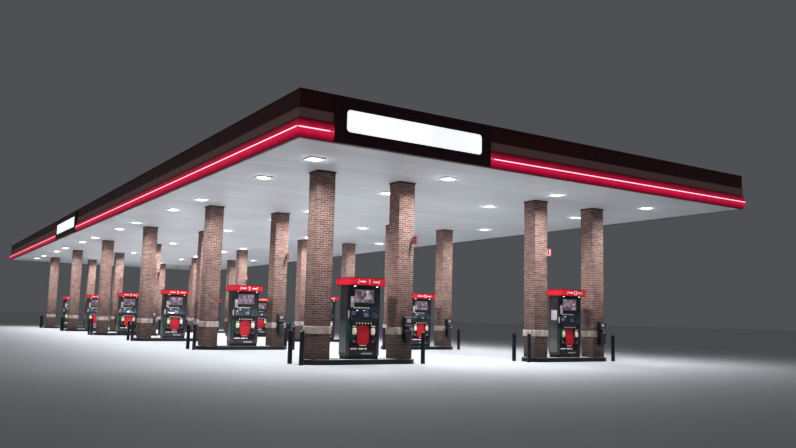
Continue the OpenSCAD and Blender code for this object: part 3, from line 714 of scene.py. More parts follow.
@dataclass(frozen=True)
class GlossOverlay(Finish):
    """Back-printed polycarbonate: deep colour under a hard gloss that mirrors the lamps."""

    name: str = "backprinted_polycarbonate"
    colour: str = "#0d1524"
    roughness: float = 0.07
    ior: float = 1.58
    teal: float = 260.0
    plum: float = 330.0
    wipe: float = 45.0

    def dress(self, surface: Surface) -> None:
        """Gives the overlay its printed clouds of teal and plum, and fine wipe marks in the gloss."""
        teal = surface.grain(self.teal, detail=2)
        colour = surface.cover(surface.plain(), "#13283e", teal, 0.4, 0.7, most=0.6)
        colour = surface.cover(colour, "#231a38", surface.grain(self.plum, detail=2), 0.5, 0.75, most=0.55)
        surface.set("Base Color", colour)
        surface.varnish(1.0, 0.03)
        surface.gloss(surface.grain(self.wipe, detail=5, stretch=(4, 4, 1)), 0.0, 0.08)


@dataclass(frozen=True)
class PrintedFilm(Finish):
    """Laminated vinyl print: a soft drift from one colour to another under a clear satin film."""

    upper: str = WHITE
    low: float = 600.0
    high: float = 1200.0
    blotch: float = 130.0
    blotch_tone: str = "#d2d2d2"
    scuff: float = 30.0
    coat: float = 0.5
    specular: float = 0.5
    roughness: float = 0.24

    def dress(self, surface: Surface) -> None:
        """Drifts from the lower colour to the upper one, with soft blotches and scuffs."""
        rise = surface.height(self.low, self.high)
        scuffs = surface.grain(self.scuff, detail=5, stretch=(4, 4, 1))
        colour = surface.cover(surface.plain(), self.upper, rise)
        colour = surface.mottle(colour, self.blotch_tone, surface.grain(self.blotch, detail=2), 0.32, 0.62)
        surface.set("Base Color", surface.cover(colour, "#a9a39c", scuffs, 0.68, 0.78, most=0.25))
        surface.set("Specular IOR Level", self.specular)
        surface.varnish(self.coat, 0.15)


@dataclass(frozen=True)
class DisplayPicture(Finish):
    """A lit display behind glass: a menu of mauve, rose and pale tiles, no real picture."""

    name: str = "lit_display_glass"
    colour: str = "#5c5560"
    roughness: float = 0.12
    strength: float = 0.8
    tile: float = 88.0
    tile_jitter: float = 0.45
    shadow: float = 260.0
    rows: float = 16.0
    tones: Stops = (
        (0.0, "#281c2a"), (0.25, "#86566e"), (0.5, "#c4b4c0"), (0.75, "#8c5c74"), (1.0, "#f4ecf2"),
    )

    def dress(self, surface: Surface) -> None:
        """Gives the display its tiles, each with a tone of its own, and fine darker rows on them."""
        place = surface.add_node("ShaderNodeTexCoord", "Object")
        settings = {"distance": "CHEBYCHEV"}
        inputs = {"Vector": place, "Scale": pattern_scale(self.tile), "Randomness": self.tile_jitter}
        tile = surface.add_node("ShaderNodeTexVoronoi", "Color", settings, inputs)
        tone = surface.add_node("ShaderNodeSeparateColor", "Green", inputs={"Color": tile})
        picture = surface.add_node("ShaderNodeValToRGB", "Color", {}, {"Fac": tone}, self.tones)
        picture = surface.mottle(picture, "#7a727e", surface.grain(self.shadow, detail=1), 0.35, 0.6)
        rows = surface.grain(self.rows, detail=2, stretch=(4, 4, 0.8))
        surface.emit(surface.cover(picture, "#3a3244", rows, 0.56, 0.6, most=0.6), self.strength)
        surface.varnish(1.0, 0.04)


@dataclass(frozen=True)
class CastMetal(Finish):
    """Die-cast metal with a tumbled surface, polished where it is handled."""

    roughness: float = 0.35
    metallic: float = 1.0
    wear: float = 28.0
    tumble: float = 3.0

    def dress(self, surface: Surface) -> None:
        """Gives the metal its grey tarnish and its worn, brighter patches."""
        wear = surface.grain(self.wear, detail=4)
        surface.set("Base Color", surface.mottle(surface.plain(), "#9a9895", wear, clear=0.65))
        surface.gloss(wear, 0.12, -0.08)
        surface.relief(surface.grain(self.tumble, detail=1), depth=0.1)


BRICK = FaceBrick()
MORTAR = Mortar()
STONE = CastStone()
CONCRETE = BroomedConcrete()
PRIMER = ShopPrimer()
ZINC = Galvanised()
WHITE_SHEET = CoilCoatedSheet()
SATIN_STEEL = SatinSteel()
CHARCOAL_COAT = PowderCoat()
BLACK_ABS = Moulding()
OVERLAY = GlossOverlay()
SCREEN = DisplayPicture()
HEADER_ACRYLIC = HeaderAcrylic()

# Enamels: deep blue-black that shows the lamps as soft smears, dull bronze, and wet-looking red
BLACK_ENAMEL = Enamel("black_stove_enamel", "#0a0e16", 0.34, dust_share=0.02)
BRONZE_ENAMEL = Enamel("bronze_baked_enamel", "#3f3733", 0.42)
FLAG_ENAMEL = Enamel("red_gloss_enamel", "#8e0f1d", 0.2)

# Painted sheets: flat dark maroons that take little light, a greyed rose stripe, and clean white
MAROON_PANEL = SatinPanel("maroon_painted_aluminium", "#3e0b12", 0.42, streak_share=0.015, coat=0.0)
DARK_SIGN = SatinPanel("dark_painted_aluminium", "#2c0c18", 0.42, streak_share=0.015, coat=0.0)
GREY_STRIPE = SatinPanel("grey_stripe_film", "#8a6562", 0.42)
LAMP_ENAMEL = SatinPanel("white_lamp_enamel", "#e9eaea", 0.3, streak_share=0.03)

# Lit covers: glaring cool lamps, an even bluish white sign, warm dim caps and small cool displays
LAMP_GLASS = Glowing("frosted_lamp_glass", WHITE, 0.3, light="#fdfdff", strength=9.0, unevenness=60)
SIGN_ACRYLIC = Glowing(
    "opal_sign_acrylic", WHITE, 0.25, light="#f6f8ff", strength=0.97, unevenness=900, darkest="#eef0f5"
)
BUTTON_CAP = Glowing("ivory_lit_caps", "#e9e2cc", 0.35, light="#efe6cc", strength=0.35, unevenness=30)
TEAL_LIGHT = Glowing("teal_pilot_light", "#7fd6cc", 0.4, light="#58c8b8", strength=1.2)
SMALL_DISPLAY = Glowing("small_lit_display", "#dfe8ee", 0.2, light="#dfe9f2", strength=0.9, unevenness=30)

# Printed films: each drifts a little in tone with height, and shines where a lamp grazes it
WHITE_VINYL = PrintedFilm("white_vinyl_film", "#efecec", 0.25, upper="#f6f3f0", low=0, high=3000, blotch=300)
PALE_PLATE = PrintedFilm("pale_printed_plate", "#b5a5aa", 0.3, upper="#cfc2c6", low=1750, high=2080)
NOTICE = PrintedFilm("paper_notice_in_film", "#c9bccb", 0.3, upper="#ded4de", low=1500, high=1900, blotch=60)
DOOR_FACE = PrintedFilm(
    "dark_plum_film", "#35101f", upper="#14151a", low=420, high=1210, coat=0.12, specular=0.2
)
GREEN_FILM = PrintedFilm("green_vinyl_film", "#0f3d2c", upper="#1d6a4a", low=700)
PURPLE_FILM = PrintedFilm("purple_vinyl_film", "#3a1848", upper="#4f2458", low=700)
# The red film is lighter towards the top: a painted highlight of the lamps above
RED_FILM = PrintedFilm(
    "red_vinyl_film", "#b41020", upper="#d02434", high=1100, blotch=420, blotch_tone="#e6e6e6"
)

# Mouldings: a mid-grey rim, cream covers with a smooth dipped skin, and dull black rubber
SCREEN_TRIM = Moulding("grey_moulded_abs", "#8a878d", 0.4)
CREAM_VINYL = Moulding(
    "cream_dipped_vinyl", "#e7d6b8", 0.34, pebble_depth=0.08, cloud_tone="#f4efe4", haze="#e2dac4"
)
BLACK_RUBBER = Moulding("black_nitrile_rubber", "#161617", 0.6)

# Bare metals: pale grey with worn highlights, the spouts a little brighter than the keys
KEY_METAL = CastMetal("die_cast_keys", "#a8abae")
SPOUT_METAL = CastMetal("turned_aluminium", "#b9bbbd")

# Dark washer fluid, still and mirror-like in its bucket
WATER = GlossOverlay("washer_fluid", "#101c26", 0.05, ior=1.33)


def rounded(
    width: float, height: float, radius: float, x: float = 0.0, z: float = 0.0, steps: int = 4
) -> list[Corner]:
    """A rectangle with round corners.

    Args:
        width: Its size across.
        height: Its size upwards.
        radius: Radius of its corners.
        x: Middle, across.
        z: Middle, upwards.
        steps: Straight pieces that each corner is drawn with.

    Returns:
        Its corners, anticlockwise.
    """
    outline = []
    for quarter in range(4):
        across = (width / 2 - radius) * (1 if quarter in (0, 3) else -1)
        up = (height / 2 - radius) * (1 if quarter in (0, 1) else -1)
        for step in range(steps + 1):
            angle = (quarter + step / steps) * math.pi / 2
            outline.append((x + across + radius * math.cos(angle), z + up + radius * math.sin(angle)))
    return outline


def barrel(width: float, height: float, power: float, count: int) -> list[Corner]:
    """An outline between an ellipse and a rectangle, round the origin.

    Args:
        width: Its size across.
        height: Its size upwards.
        power: 2 for an ellipse, more for squarer.
        count: Number of points.

    Returns:
        Its points, anticlockwise.
    """
    outline = []
    for i in range(count):
        angle = 2 * math.pi * i / count
        parts = (math.cos(angle), math.sin(angle))
        across, up = (math.copysign(abs(part) ** (2 / power), part) for part in parts)
        outline.append((across * width / 2, up * height / 2))
    return outline


def shrunk(outline: Outline, by: float) -> list[Corner]:
    """An anticlockwise convex outline moved inwards all round.

    Args:
        outline: Its corners.
        by: How far each edge moves.

    Returns:
        The corners of the smaller outline.
    """
    moved = []
    for i, here in enumerate(outline):
        into = (Vector(here) - Vector(outline[i - 1])).normalized()
        out_of = (Vector(outline[(i + 1) % len(outline)]) - Vector(here)).normalized()
        inward = Vector((-into.y - out_of.y, into.x + out_of.x)).normalized()
        share = max(CORNER_LIMIT, inward.dot(Vector((-into.y, into.x))))
        moved.append(tuple(Vector(here) + inward * by / share))
    return moved


def oval(width: float, depth: float, z: float, count: int = 14, power: float = 2.6) -> list[Point]:
    """A level ring between an ellipse and a rectangle, as moulded handles have.

    Args:
        width: Size along x.
        depth: Size along y.
        z: Its height.
        count: Number of points.
        power: 2 for an ellipse, more for squarer.

    Returns:
        Its points, anticlockwise from above.
    """
    return [(x, y, z) for x, y in barrel(width, depth, power, count)]


def facing_front(x: float, y: float, z: float) -> Matrix:
    """Place of a turned solid that is laid down, so that its top faces -Y."""
    return Matrix.Translation((x, y, z)) @ Matrix.Rotation(math.pi / 2, 4, "X")


class Shape:
    """Closed solids in full-size millimetres, each in its finish, that end up in one mesh."""

    def __init__(self) -> None:
        self.points: list[Point] = []
        self.faces: list[Face] = []
        self.finishes: list[Finish] = []
        self.tones: list[float] = []

    def add(self, finish: Finish, points: Iterable[Point], faces: Iterable[Face], tone: float = 0.0) -> Self:
        """Adds one solid.

        Args:
            finish: The finish that it takes.
            points: Its corners.
            faces: Its faces, as indices into the points.
            tone: A number from 0 to 1 that sets it apart from its neighbours.

        Returns:
            This shape.
        """
        start = len(self.points)
        self.points.extend(tuple(p) for p in points)
        for face in faces:
            self.faces.append(tuple(start + i for i in face))
            self.finishes.append(finish)
            self.tones.append(tone)
        return self

    def box(self, finish: Finish, low: Point, high: Point, tone: float = 0.0) -> Self:
        """Adds a box.

        Args:
            finish: The finish that it takes.
            low: Its lowest corner.
            high: Its highest corner.
            tone: What sets it apart from its neighbours, from 0 to 1.

        Returns:
            This shape.
        """
        corners = [
            (high[0] if i & 1 else low[0], high[1] if i & 2 else low[1], high[2] if i & 4 else low[2])
            for i in range(8)
        ]
        sides = [(0, 2, 3, 1), (4, 5, 7, 6), (0, 1, 5, 4), (2, 6, 7, 3), (0, 4, 6, 2), (1, 3, 7, 5)]
        return self.add(finish, corners, sides, tone)

    def loft(self, finish: Finish, rings: Sequence[Sequence[Point]], closed: bool = False) -> Self:
        """Joins rings of equally many points into one skin.

        Args:
            finish: The finish that it takes.
            rings: The rings, in order.
            closed: True if the last ring joins the first, so that there are no end faces.

        Returns:
            This shape.
        """
        n, count = len(rings[0]), len(rings)
        faces = [] if closed else [tuple(range(n))[::-1], tuple(range((count - 1) * n, count * n))]
        for k in range(count if closed else count - 1):
            a, b = k * n, (k + 1) % count * n
            faces += [(a + i, a + (i + 1) % n, b + (i + 1) % n, b + i) for i in range(n)]
        return self.add(finish, [p for ring in rings for p in ring], faces)

    def plate(
        self, finish: Finish, outline: Outline, back: float, front: float, chamfer: float = 1.0
    ) -> Self:
        """Adds an upright plate that faces -Y, with a chamfer round its front.

        Args:
            finish: The finish that it takes.
            outline: Its corners as x and z, anticlockwise.
            back: The y of its back.
            front: The y of its front, below the back.
            chamfer: Size of the chamfer.

        Returns:
            This shape.
        """
        steps = [(outline, back), (outline, front + chamfer), (shrunk(outline, chamfer), front)]
        return self.loft(finish, [[(x, y, z) for x, z in ring] for ring, y in steps])

    def panel(
        self, finish: Finish, box: Box, corner: float, back: float, thickness: float,
        chamfer: float = 0.5, side: int = 1,
    ) -> Self:
        """Adds a plate that is a rectangle with round corners.

        Args:
            finish: The finish that it takes.
            box: Its width, its height and the x and z of its middle.
            corner: Radius of its corners.
            back: The y of its back.
            thickness: How far its front is from its back.
            chamfer: Size of the chamfer.
            side: -1 for the place mirrored in x.

        Returns:
            This shape.
        """
        w, h, x, z = box
        return self.plate(finish, rounded(w, h, corner, side * x, z), back, back - thickness, chamfer)

    def surround(self, finish: Finish, outline: Outline, inner: Outline, back: float, front: float) -> Self:
        """Adds a raised frame that faces -Y.

        Args:
            finish: The finish that it takes.
            outline: Its outer corners as x and z, anticlockwise.
            inner: Its inner corners, as many and in the same order.
            back: The y of its back.
            front: The y of its front, below the back.

        Returns:
            This shape.
        """
        edge = front + min(3.0, (back - front) / 3)
        steps = [(0.0, back), (0.0, edge), (FRAME_EASE, front)]
        steps += [(1 - share, y) for share, y in reversed(steps)]
        rings = []
        for share, y in steps:
            between = [Vector(outer).lerp(Vector(point), share) for outer, point in zip(outline, inner)]
            rings.append([(x, y, z) for x, z in between])
        return self.loft(finish, rings, closed=True)

    def turned(self, finish: Finish, profile: Outline, segments: int = 20, closed: bool = False) -> Self:
        """Adds a solid of revolution round the Z axis.

        Args:
            finish: The finish that it takes.
            profile: Radius and height of each ring, from one end to the other.
            segments: Straight pieces in each circle.
            closed: True for a ring, whose profile ends where it began.

        Returns:
            This shape.
        """
        angles = [2 * math.pi * i / segments for i in range(segments)]
        rings = [[(r * math.cos(a), r * math.sin(a), z) for a in angles] for r, z in profile]
        return self.loft(finish, rings, closed)

    def swept(self, finish: Finish, path: Sequence[Point], radius: float, sides: int = 8) -> Self:
        """Adds a round bar along a path.

        Args:
            finish: The finish that it takes.
            path: The points that its middle follows.
            radius: Its radius.
            sides: Straight pieces in its cross-section.

        Returns:
            This shape.
        """
        points = [Vector(p) for p in path]
        turns = [2 * math.pi * k / sides for k in range(sides)]
        across = (points[1] - points[0]).orthogonal().normalized()
        rings = []
        for i, here in enumerate(points):
            ahead = (points[min(i + 1, len(points) - 1)] - points[max(i - 1, 0)]).normalized()
            across = (across - ahead * across.dot(ahead)).normalized()
            up = ahead.cross(across)
            rings.append([tuple(here + radius * (across * math.cos(t) + up * math.sin(t))) for t in turns])
        return self.loft(finish, rings)

    def place(self, other: "Shape", matrix: Matrix) -> None:
        """Adds a copy of another shape, moved by a matrix in millimetres."""
        start = len(self.points)
        self.points.extend(tuple(matrix @ Vector(p)) for p in other.points)
        self.faces.extend(tuple(start + i for i in face) for face in other.faces)
        self.finishes.extend(other.finishes)
        self.tones.extend(other.tones)

    def copies(self, places: Iterable[Matrix]) -> "Shape":
        """A new shape that has this one at each of some places."""
        every = Shape()
        for place in places:
            every.place(self, place)
        return every

    def build(self, name: str, slot: str, *replaces: str) -> None:
        """Turns the solids into one object that rides on the canopy.

        Args:
            name: Name of the piece.
            slot: Material slot of the record that it belongs to; not used.
            replaces: CAD nodes that it stands for.
        """
        mesh = bpy.data.meshes.new(name)
        mesh.from_pydata([[metres(c) for c in p] for p in self.points], [], self.faces)
        used = {finish.name: finish for finish in self.finishes}
        numbers = {name: number for number, name in enumerate(used)}
        for finish in used.values():
            mesh.materials.append(finish.material())
        mesh.polygons.foreach_set("material_index", [numbers[finish.name] for finish in self.finishes])
        tone = mesh.attributes.new("tone", "FLOAT", "FACE")
        tone.data.foreach_set("value", self.tones)
        outward = bmesh.new()
        outward.from_mesh(mesh)
        bmesh.ops.recalc_face_normals(outward, faces=outward.faces)
        outward.to_mesh(mesh)
        outward.free()
        mesh.shade_smooth()
        mesh.set_sharp_from_angle(angle=math.radians(SMOOTH_BELOW))
        mesh.validate()
        piece = put_in_scene(name, mesh)
        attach(piece, BODY)
        if replaces:
            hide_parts(*replaces)
        LOG.info("%s: %d faces", name, len(mesh.polygons))


def numeral(finish: Finish, number: int, height: float) -> Shape:
    """A plain number as a thin solid on the plane y = 0, facing -Y.

    Args:
        finish: The finish that it takes.
        number: What it reads.
        height: Height of its figures.

    Returns:
        The figures, centred on the origin and 1 thick to each side.
    """
    text = bpy.data.curves.new("numeral", "FONT")
    text.body = str(number)
    text.align_x = "CENTER"
    text.size = height / FIGURE_SHARE
    text.extrude = 1.0
    text.offset = height * FIGURE_GROWTH
    text.resolution_u = 3
    holder = bpy.data.objects.new("numeral", text)
    mesh = holder.to_mesh()
    points = [(p.co.x, -p.co.z, p.co.y - height / 2) for p in mesh.vertices]
    shape = Shape().add(finish, points, [tuple(face.vertices) for face in mesh.polygons])
    holder.to_mesh_clear()
    bpy.data.objects.remove(holder)
    bpy.data.curves.remove(text)
    return shape


@dataclass(frozen=True)
class PhotoCamera:
    """The camera at the photograph's place, in metres, turned as the fitted view says."""

    place: Point = (-8.7025, -23.5975, 0.70)
    lens: float = 34.694
    sensor: float = 36.0
    yaw: float = 32.718
    pitch: float = 7.098
    roll: float = 1.375
    farthest: float = 2000.0

    def build(self) -> None:
        """Makes the camera and puts it to use."""
        yaw, pitch, roll = (math.radians(a) for a in (self.yaw, self.pitch, self.roll))
        ahead = Vector((math.sin(yaw) * math.cos(pitch), math.cos(yaw) * math.cos(pitch), math.sin(pitch)))
        level = Vector((math.cos(yaw), -math.sin(yaw), 0))
        up = level.cross(ahead)
        right = level * math.cos(roll) + up * math.sin(roll)
        top = up * math.cos(roll) - level * math.sin(roll)
        data = bpy.data.cameras.new("photo_camera")
        data.lens = self.lens
        data.sensor_width = self.sensor
        data.clip_end = self.farthest
        camera = put_in_scene("photo_camera", data)
        turned = Matrix((right, top, -ahead)).transposed().to_4x4()
        camera.matrix_world = Matrix.Translation(self.place) @ turned
        bpy.context.scene.camera = camera


@dataclass(frozen=True)
class Studio:
    """A plain pale floor under plain soft light, all in metres."""

    floor_colour: str = "#a2a4a7"
    floor_roughness: float = 0.8
    floor_reach: float = 400.0
    sky_colour: str = "#c9ced4"
    sky_strength: float = 0.13
    key_power: float = 0.5
    key_place: Point = (-34.0, -20.0, 26.0)
    key_softness: float = 35.0
    top_power: float = 130.0
    top_spread: float = 60.0
    top_size: Pair = (8.2, 28.6)
    top_height: float = 5.4

    def build(self) -> None:
        """Makes the floor and the lights, and has colours shown as they are."""
        self.lay_floor()
        self.light_sky()
        self.hang_key()
        self.hang_softbox()
        bpy.context.scene.view_settings.view_transform = "Standard"

    def lay_floor(self) -> None:
        """Makes the floor."""
        reach = self.floor_reach
        mesh = bpy.data.meshes.new("studio_floor")
        corners = [(-reach, -reach, 0), (reach, -reach, 0), (reach, reach, 0), (-reach, reach, 0)]
        mesh.from_pydata(corners, [], [(0, 1, 2, 3)])
        mesh.materials.append(Finish("studio_paper", self.floor_colour, self.floor_roughness).material())
        put_in_scene("studio_floor", mesh)

    def light_sky(self) -> None:
        """Makes the even light from all round."""
        world = bpy.data.worlds.new("studio")
        world.use_nodes = True
        background = world.node_tree.nodes["Background"]
        background.inputs["Color"].default_value = linear(self.sky_colour)
        background.inputs["Strength"].default_value = self.sky_strength
        bpy.context.scene.world = world

    def hang_key(self) -> None:
        """Makes the weak light that comes from one side."""
        sun = bpy.data.lights.new("key", "SUN")
        sun.energy = self.key_power
        sun.angle = math.radians(self.key_softness)
        key = put_in_scene("key", sun)
        key.rotation_mode = "QUATERNION"
        key.rotation_quaternion = (-Vector(self.key_place)).to_track_quat("-Z", "Y")

    def hang_softbox(self) -> None:
        """Makes the soft light over the roof, which shows it from above."""
        soft = bpy.data.lights.new("roof_softbox", "AREA")
        soft.shape = "RECTANGLE"
        soft.size, soft.size_y = self.top_size
        soft.energy = self.top_power
        soft.spread = math.radians(self.top_spread)
        softbox = put_in_scene("roof_softbox", soft)
        softbox.location.z = self.top_height
        softbox.visible_camera = False


@dataclass(frozen=True)
class Site:
    """Where the columns, islands and roof edges are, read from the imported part."""

    column_x: tuple[float, ...]
    row_y: tuple[float, ...]
    pier_side: float
    island_top: float
    band_low: float
    band_high: float
    soffit: float

    @classmethod
    def from_frame(cls) -> Self:
        """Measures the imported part."""
        lines = [node_box(f"brick_piers_line_{i}") for i in (1, 2, 3, 4)]
        side = lines[0][1].x - lines[0][0].x
        first, last = lines[0][0].y + side / 2, lines[0][1].y - side / 2
        rows = tuple(first + (last - first) * j / (ROWS - 1) for j in range(ROWS))
        band = node_box("stone_bands")
        columns = tuple((low.x + high.x) / 2 for low, high in lines)
        return cls(columns, rows, side, lines[0][0].z, band[0].z, band[1].z, lines[0][1].z)

    def islands(self) -> Iterator[Pair]:
        """Middle of each island, column line by column line."""
        for a, b in (self.column_x[:2], self.column_x[2:]):
            for y in self.row_y:
                yield (a + b) / 2, y

    def turned(self, *angles: float) -> Iterator[Matrix]:
        """Place of each dispenser, once for each of some turns round its upright axis."""
        for x, y in self.islands():
            for angle in angles:
                yield Matrix.Translation((x, y, 0)) @ Matrix.Rotation(angle, 4, "Z")

    def faces(self) -> Iterator[Matrix]:
        """Place of both faces of each dispenser, turned so that each looks along -Y."""
        return self.turned(0, math.pi)

    def sides(self) -> Iterator[Matrix]:
        """Place of both flanks of each dispenser, turned so that each looks along -Y."""
        return self.turned(-math.pi / 2, math.pi / 2)


@dataclass(frozen=True)
class SoffitLamps:
    """The soffit lamps: a trim ring round each lens, and the light that it gives down and up."""

    site: Site
    inner: float = 2370.0
    outer: float = 7110.0
    reach: float = 1850.0
    shift: float = 130.0
    lens_d: float = 420.0
    bezel_h: float = 34.0
    trim: Profile = ((2, 0), (16, 0), (14, -5), (4, -7))
    tint: Point = (0.95, 0.975, 1.0)
    light_drop: float = 60.0
    power: float = 51.0
    spread: float = 156.0
    halo_drop: float = 200.0
    halo_d: float = 200.0
    halo_power: float = 1.1
    halo_spread: float = 180.0

    def places(self) -> Iterator[Pair]:
        """Middle of each lamp."""
        middle = sum(self.site.column_x) / len(self.site.column_x)
        for x in (-self.outer, -self.inner, self.inner, self.outer):
            for y in self.site.row_y:
                for side in (-1, 1):
                    yield middle + x, y + self.shift + side * self.reach

    def build(self) -> None:
        """Makes the rings as one piece, and each lamp's light on the ground and on the soffit round it."""
        section = [(self.lens_d / 2 + out, z) for out, z in self.trim]
        ring = Shape().turned(SPOUT_METAL, section, segments=32, closed=True)
        level = self.site.soffit - self.bezel_h
        rings = ring.copies(Matrix.Translation((x, y, level)) for x, y in self.places())
        for number, (x, y) in enumerate(self.places()):
            self.shine(f"lamp_glow_{number}", (x, y, self.light_drop), self.lens_d, self.power, self.spread)
            # The domed lens also scatters a little light up, which pools on the soffit round it
            place = (x, y, self.halo_drop)
            halo = self.shine(f"lamp_halo_{number}", place, self.halo_d, self.halo_power, self.halo_spread)
            halo.rotation_euler.x = math.pi
            halo.visible_camera = halo.visible_glossy = False
        rings.build("lamp_trim_rings", "lamp_white")

    def shine(self, name: str, place: Point, size: float, power: float, spread: float) -> bpy.types.Object:
        """Adds a round light that shines down.

        Args:
            name: The light's name.
            place: Its x and y, and how far it hangs below the soffit.
            size: Its diameter.
            power: Its power in watts.
            spread: The angle that its beam opens to, in degrees.

        Returns:
            The light as an object.
        """
        light = bpy.data.lights.new(name, "AREA")
        light.shape = "DISK"
        light.size = metres(size)
        light.energy = power
        light.color = self.tint
        light.spread = math.radians(spread)
        lamp = put_in_scene(name, light)
        x, y, drop = place
        lamp.location = [metres(c) for c in (x, y, self.site.soffit - drop)]
        return lamp


@dataclass(frozen=True)
class BrickPiers:
    """Piers of face brick in running bond, three bricks to a side, round each steel column."""

    site: Site
    course: float = 67.7
    joint: float = 10.0
    depth: float = 92.0
    rake: float = 2.5
    wander: float = 1.0
    seed: int = 24

    def build(self) -> None:
        """Builds one piece for each line of columns."""
        dice = random.Random(self.seed)
        for number, x in enumerate(self.site.column_x, 1):
            piers = Shape()
            for y in self.site.row_y:
                piers.place(self.pier(dice), Matrix.Translation((x, y, 0)))
            piers.build(f"face_brick_line_{number}", "brick", f"brick_piers_line_{number}")

    def pier(self, dice: random.Random) -> Shape:
        """One pier in its two lifts, round the origin."""
        pier = Shape()
        site = self.site
        for low, high in ((site.island_top, site.band_low), (site.band_high, site.soffit)):
            self.lay_lift(pier, low, high, dice)
        return pier

    def lay_lift(self, pier: Shape, low: float, high: float, dice: random.Random) -> None:
        """Lays the courses of one lift, with the mortar behind them.

        Args:
            pier: Where the solids go.
            low: Underside of the lift.
            high: Top of the lift.
            dice: Source of the bricks' small differences.
        """
        outer = self.site.pier_side / 2 - self.rake
        inner = self.site.pier_side / 2 - self.depth
        turns = [Matrix.Rotation(quarter * math.pi / 2, 4, "Z") for quarter in range(4)]
        for turn in turns:
            pier.place(Shape().box(MORTAR, (-outer, -outer, low), (inner, -inner, high)), turn)
        count = round((high - low) / self.course)
        course = (high - low) / count
        for number in range(count):
            base = low + number * course
            for quarter, turn in enumerate(turns):
                whole = (number + quarter) % 2 == 0
                pier.place(self.row(base, base + course - self.joint, whole, dice), turn)

    def row(self, low: float, high: float, whole: bool, dice: random.Random) -> Shape:
        """One course of one side of a pier.

        Args:
            low: Underside of the bricks.
            high: Top of the bricks.
            whole: True if three bricks fill the side, false if two stand between the
                ends of the neighbouring sides' bricks.
            dice: Source of the bricks' small differences.

        Returns:
            The bricks, on the front side of the pier.
        """
        bricks = Shape()
        half = self.site.pier_side / 2
        edge = half if whole else half - self.depth - self.joint
        count = 3 if whole else 2
        length = (2 * edge - (count - 1) * self.joint) / count
        for number in range(count):
            left = -edge + number * (length + self.joint)
            set_back = dice.uniform(0, self.wander)
            trim = [dice.uniform(0, self.wander) for _ in range(3)]
            corner_left = 0.0 if whole and number == 0 else trim[0]
            corner_right = 0.0 if whole and number == count - 1 else trim[1]
            low_corner = (left + corner_left, -half + (0.0 if whole else set_back), low)
            high_corner = (left + length - corner_right, -half + self.depth, high - trim[2])
            bricks.box(BRICK, low_corner, high_corner, dice.random())
        return bricks


@dataclass(frozen=True)
class FacePlan:
    """Depths and levels that the pieces on a dispenser's face share, in its own x, y and z."""

    door: float = -235.0
    pillar: float = -250.0
    housing: float = -255.0
    pillar_x: float = 542.0
    shelf: float = -355.0
    slope_low: float = 1400.0
    slope_high: float = 1700.0

    @property
    def slope(self) -> Matrix:
        """Place of the slope's middle, turned so that the slope faces -Y there."""
        run, rise = self.housing - self.shelf, self.slope_high - self.slope_low
        middle = (0, (self.shelf + self.housing) / 2, (self.slope_low + self.slope_high) / 2)
        return Matrix.Translation(middle) @ Matrix.Rotation(-math.atan2(run, rise), 4, "X")


@dataclass(frozen=True)
class ScreenSurround:
    """Grey rim round the screen, with the pale plates beside and under it."""

    site: Site
    plan: FacePlan
    size: Pair = (704.0, 414.0)
    corner: float = 14.0
    middle_z: float = 2100.0
    glass: float = -245.0
    rim: float = 26.0
    rim_corner: float = 6.0
    rim_t: float = 7.0
    plate: Box = (124.0, 330.0, -426.0, 1915.0)
    patch: Box = (62.0, 46.0, -432.0, 1985.0)
    marks_x: tuple[float, ...] = (-345.0, -245.0, -165.0, -85.0, -5.0, 75.0, 155.0)
    mark: Pair = (62.0, 36.0)
    marks_z: float = 1738.0

    def build(self) -> None:
        """Makes the rims as one piece and the plates as another."""
        width, height = self.size
        outline = rounded(width, height, self.corner, 0, self.middle_z)
        inner = rounded(width - 2 * self.rim, height - 2 * self.rim, self.rim_corner, 0, self.middle_z)
        rim = Shape().surround(SCREEN_TRIM, outline, inner, self.glass, self.glass - self.rim_t)
        rim.copies(self.site.faces()).build("screen_rims", "black_moulding")
        plates = Shape()
        front = self.plan.housing
        plates.panel(PALE_PLATE, self.plate, 10, front, 4, chamfer=1)
        plates.panel(WHITE_VINYL, self.patch, 5, front - 4, 2)
        for x in self.marks_x:
            plates.panel(WHITE_VINYL, (*self.mark, x, self.marks_z), 6, front, 3)
        plates.copies(self.site.faces()).build("screen_plates", "printed_panel")


